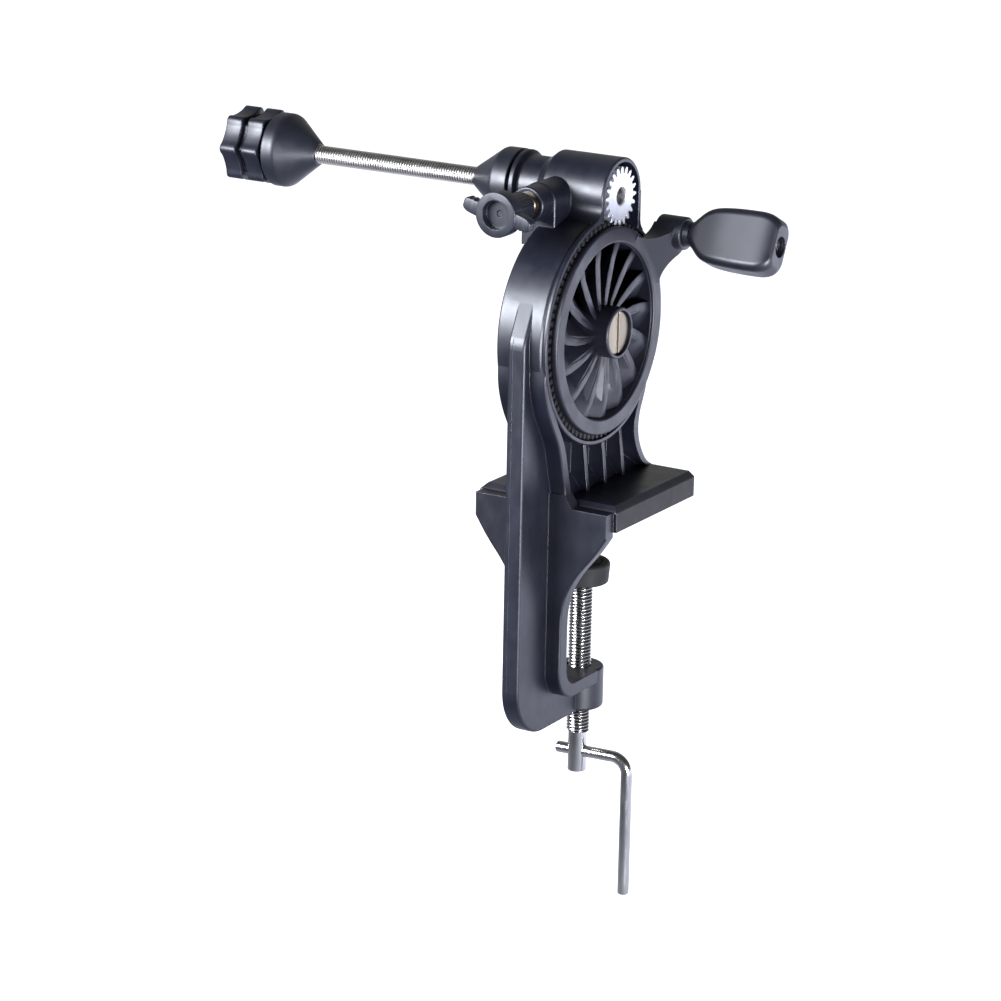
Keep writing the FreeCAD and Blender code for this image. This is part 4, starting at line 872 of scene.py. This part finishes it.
# %% Star knob: dish and bore
DISH_DEPTH = 0.9 * MM
DISH_R = 11.0 * MM
RIDGE_ROUND = 1.0 * MM
INSERT_ROOM = 0.03 * MM
insert_r = (high("knob_insert").z - low("knob_insert").z) / 2 + INSERT_ROOM
bore = begin("bore_cutter", bpy.ops.mesh.primitive_circle_add, vertices=64, radius=DISH_R, fill_type="NGON",
             location=(-2 * knob_half, 0, 0), rotation=(0, math.pi / 2, 0))
pick(bore, lambda place, normal: True)
push((knob_half + DISH_DEPTH, 0, 0))
push((0, 0, 0))
widen((0, 0, 0), (1, insert_r / DISH_R, insert_r / DISH_R))
push((3 * knob_half, 0, 0))
face_outwards()
carve(knob, bore)
soften(knob, RIDGE_ROUND, 3, 60)
lay_along(knob, 0, "X", (middle("clamp_knob").x, rod_axis.y, rod_axis.z))
complete(knob, "star_knob", knob_plastic, "knob_plastic", "clamp_knob")

# %% [markdown]
# ## Wing knob
# The tension knob is a cup-shaped disc on a fluted hub, with two stubby wings for finger and thumb. The
# disc and the hub are a round face pulled out in three steps, and every second point round the hub is drawn
# in for the flutes.

# %% Wing knob: disc and fluted hub
DISC_R = 9.3 * MM
DISC_LENGTH = 6.6 * MM
HUB_R = 6.5 * MM
HUB_STEP = 1.2 * MM
FLUTES = 24
FLUTE_SHARE = 0.93
wing_front, wing_end = low("wing_knob").y, high("wing_knob").y
disc_centre = Vector((wing_axis.x, wing_front, wing_axis.z))
wing_knob = begin("wing_knob_body", bpy.ops.mesh.primitive_circle_add, vertices=48, radius=DISC_R,
                  fill_type="NGON", location=disc_centre, rotation=(math.pi / 2, 0, 0))
pick(wing_knob, lambda place, normal: True)
push((0, DISC_LENGTH, 0))
push((0, HUB_STEP, 0))
widen(disc_centre, (HUB_R / DISC_R, 1, HUB_R / DISC_R))
push((0, wing_end - wing_front - DISC_LENGTH - HUB_STEP, 0))
bpy.ops.object.mode_set(mode="OBJECT")


def around(place):
    """Angle of a point about the wing knob's axis, in flutes."""
    return math.atan2(place.z - wing_axis.z, place.x - wing_axis.x) / (2 * math.pi) * FLUTES


def in_flute(place):
    """True for the points halfway between two ribs of the hub."""
    return place.y > hub_start and abs(around(place) - round(around(place))) > 0.25


hub_start = wing_front + DISC_LENGTH + 0.5 * HUB_STEP
print("drawn in", pick(wing_knob, lambda place, normal: in_flute(place), "points"), "points for the flutes")
widen(disc_centre, (FLUTE_SHARE, 1, FLUTE_SHARE))
face_outwards()
soften(wing_knob, EDGE_ROUND, 3, 50)

# %% Wing knob: cup and room for the screw
CUP_R = 6.0 * MM
CUP_DEPTH = 3.6 * MM
PIN_HOLE_R = 1.4 * MM
PIN_HOLE_DEPTH = 0.4 * MM
SCREW_ROOM = 0.02 * MM
cup = begin("cup_cutter", bpy.ops.mesh.primitive_circle_add, vertices=48, radius=CUP_R, fill_type="NGON",
            location=disc_centre - Vector((0, MM, 0)), rotation=(math.pi / 2, 0, 0))
pick(cup, lambda place, normal: True)
push((0, MM + CUP_DEPTH, 0))
push((0, 0, 0))
widen(disc_centre, (PIN_HOLE_R / CUP_R, 1, PIN_HOLE_R / CUP_R))
push((0, PIN_HOLE_DEPTH, 0))
face_outwards()
carve(wing_knob, cup)
screw_room = begin("screw_cutter", bpy.ops.mesh.primitive_cylinder_add, vertices=48,
                   radius=rod_r + SCREW_ROOM, depth=2 * (wing_end - low("tension_screw").y),
                   location=(wing_axis.x, wing_end, wing_axis.z), rotation=(math.pi / 2, 0, 0))
carve(wing_knob, screw_room)
print("disc, cup and hub", len(wing_knob.data.polygons), "faces")

# %% [markdown]
# Each wing has a notched edge for grip and a round tip. One wing is made from a block: slices across it
# give rows of points, and the rows are drawn in for the tip and pushed up for the notches. The other wing
# is a copy turned half round.

# %% Wing knob: two notched wings
WING_REACH = 15.9 * MM
WING_WIDTH = 6.4 * MM
WING_THICKNESS = 4.6 * MM
WING_OFFSET = 1.2 * MM
WING_SETBACK = 0.7 * MM
WING_TILT = math.radians(-17)
WING_ROOT = 6.4 * MM
CUTS = [7.5, 8.6, 9.7, 10.8, 11.9, 13.0, 14.1, 15.1]
TIP_SHARES = {13.0: 0.97, 14.1: 0.9, 15.1: 0.74, 15.9: 0.45}
NOTCH_DEPTH = 0.5 * MM
SAME_CUT = 0.01 * MM
wing = begin("wing", bpy.ops.mesh.primitive_cube_add, size=1,
             scale=(WING_REACH - WING_ROOT, WING_THICKNESS, WING_WIDTH),
             location=((WING_REACH + WING_ROOT) / 2, WING_THICKNESS / 2, 0))
bpy.ops.object.mode_set(mode="EDIT")
for cut in CUTS:
    bpy.ops.mesh.select_all(action="SELECT")
    bpy.ops.mesh.bisect(plane_co=(cut * MM, 0, 0), plane_no=(1, 0, 0))
for cut, share in TIP_SHARES.items():
    pick(wing, lambda place, normal: abs(place.x - cut * MM) < SAME_CUT, "points")
    widen((0, 0, 0), (1, 1, share))
for cut in CUTS[1:7:2]:
    pick(wing, lambda place, normal: abs(place.x - cut * MM) < SAME_CUT and place.z < 0, "points")
    bpy.ops.transform.translate(value=(0, 0, NOTCH_DEPTH))
bpy.ops.mesh.select_all(action="SELECT")
bpy.ops.transform.translate(value=(0, 0, WING_OFFSET))
soften(wing, EDGE_ROUND, 3, 50)
focus(wing)
bpy.ops.object.duplicate()
other_wing = bpy.context.object
lay_along(other_wing, math.pi, "Y", (0, 0, 0))
for blade in (wing, other_wing):
    lay_along(blade, WING_TILT, "Y", disc_centre + Vector((0, WING_SETBACK, 0)))
wing_knob = unite(wing_knob, wing, other_wing)
complete(wing_knob, "wing", knob_plastic, "knob_plastic", "wing_knob")

# %% [markdown]
# ## Vanes of the wheel
# The wheel's fifteen spokes are vanes: each leans back like a turbine blade, and its front edge is narrow
# at the hub and wide at the rim. One vane is made from a block: the hub end is narrowed, the back is turned
# round the wheel's axis for the lean, and the whole is swept.

# %% One vane: block and width
VANE_FRONT = 11.9 * MM
VANE_DEPTH = 7.9 * MM
VANE_ROOT_R = 10.2 * MM
VANE_TIP_R = 37.6 * MM
VANE_ROOT_WIDTH = 2.0 * MM
VANE_TIP_WIDTH = 4.4 * MM
VANE_STEPS = [0, 0.25, 0.5, 0.75]
SAME_RING = 0.1
vane_middle = VANE_FRONT - VANE_DEPTH / 2
vane = begin("wheel_vanes", bpy.ops.mesh.primitive_cube_add, size=1,
             scale=(VANE_DEPTH, VANE_TIP_R - VANE_ROOT_R, VANE_TIP_WIDTH),
             location=(vane_middle, (VANE_TIP_R + VANE_ROOT_R) / 2, 0))
bpy.ops.object.mode_set(mode="EDIT")
for share in VANE_STEPS[1:]:
    bpy.ops.mesh.select_all(action="SELECT")
    cut = VANE_ROOT_R + share * (VANE_TIP_R - VANE_ROOT_R)
    bpy.ops.mesh.bisect(plane_co=(0, cut, 0), plane_no=(0, 1, 0))


def vane_share(place):
    """Zero at the hub and one at the rim."""
    return (math.hypot(place.y, place.z) - VANE_ROOT_R) / (VANE_TIP_R - VANE_ROOT_R)


for share in VANE_STEPS:
    width = VANE_ROOT_WIDTH + share * (VANE_TIP_WIDTH - VANE_ROOT_WIDTH)
    pick(vane, lambda place, normal: abs(vane_share(place) - share) < SAME_RING, "points")
    widen((0, 0, 0), (1, 1, width / VANE_TIP_WIDTH))
print("vane", round((VANE_TIP_R - VANE_ROOT_R) / MM, 1), "mm long")

# %% One vane: lean and sweep
VANE_LEAN = math.radians(20)
VANE_SWEEP = math.radians(15)
VANE_ROUND = 0.35 * MM
pick(vane, lambda place, normal: place.x < vane_middle, "points")
bpy.ops.transform.rotate(value=VANE_LEAN, orient_axis="X", center_override=(0, 0, 0))
bpy.ops.object.mode_set(mode="OBJECT")
back = [vertex.co for vertex in vane.data.vertices if vertex.co.x < vane_middle]
print("lean", round(math.degrees(math.atan2(back[0].z, back[0].y)), 1), "degrees, back points", len(back))
for share in VANE_STEPS:
    pick(vane, lambda place, normal: abs(vane_share(place) - share) < SAME_RING, "points")
    bpy.ops.transform.rotate(value=-(1 - share) * VANE_SWEEP, orient_axis="X", center_override=(0, 0, 0))
soften(vane, VANE_ROUND, 2, 50)

# %% [markdown]
# The finished vane is copied round the hub. Each copy is turned a fifteenth of a turn further, and all are
# joined.

# %% Ring of vanes
VANES = 15
VANE_PHASE = math.radians(5)
hub_line = Vector((0, wheel_axis.y, wheel_axis.z))
lay_along(vane, -VANE_PHASE, "X", (0, 0, 0))
vanes = [vane]
for copy in range(1, VANES):
    focus(vane)
    bpy.ops.object.duplicate()
    vanes.append(bpy.context.object)
for number, copy in enumerate(vanes):
    lay_along(copy, -number * 2 * math.pi / VANES, "X", hub_line)
vane = unite(*vanes)
complete(vane, "crank", wheel_plastic, "wheel_plastic")
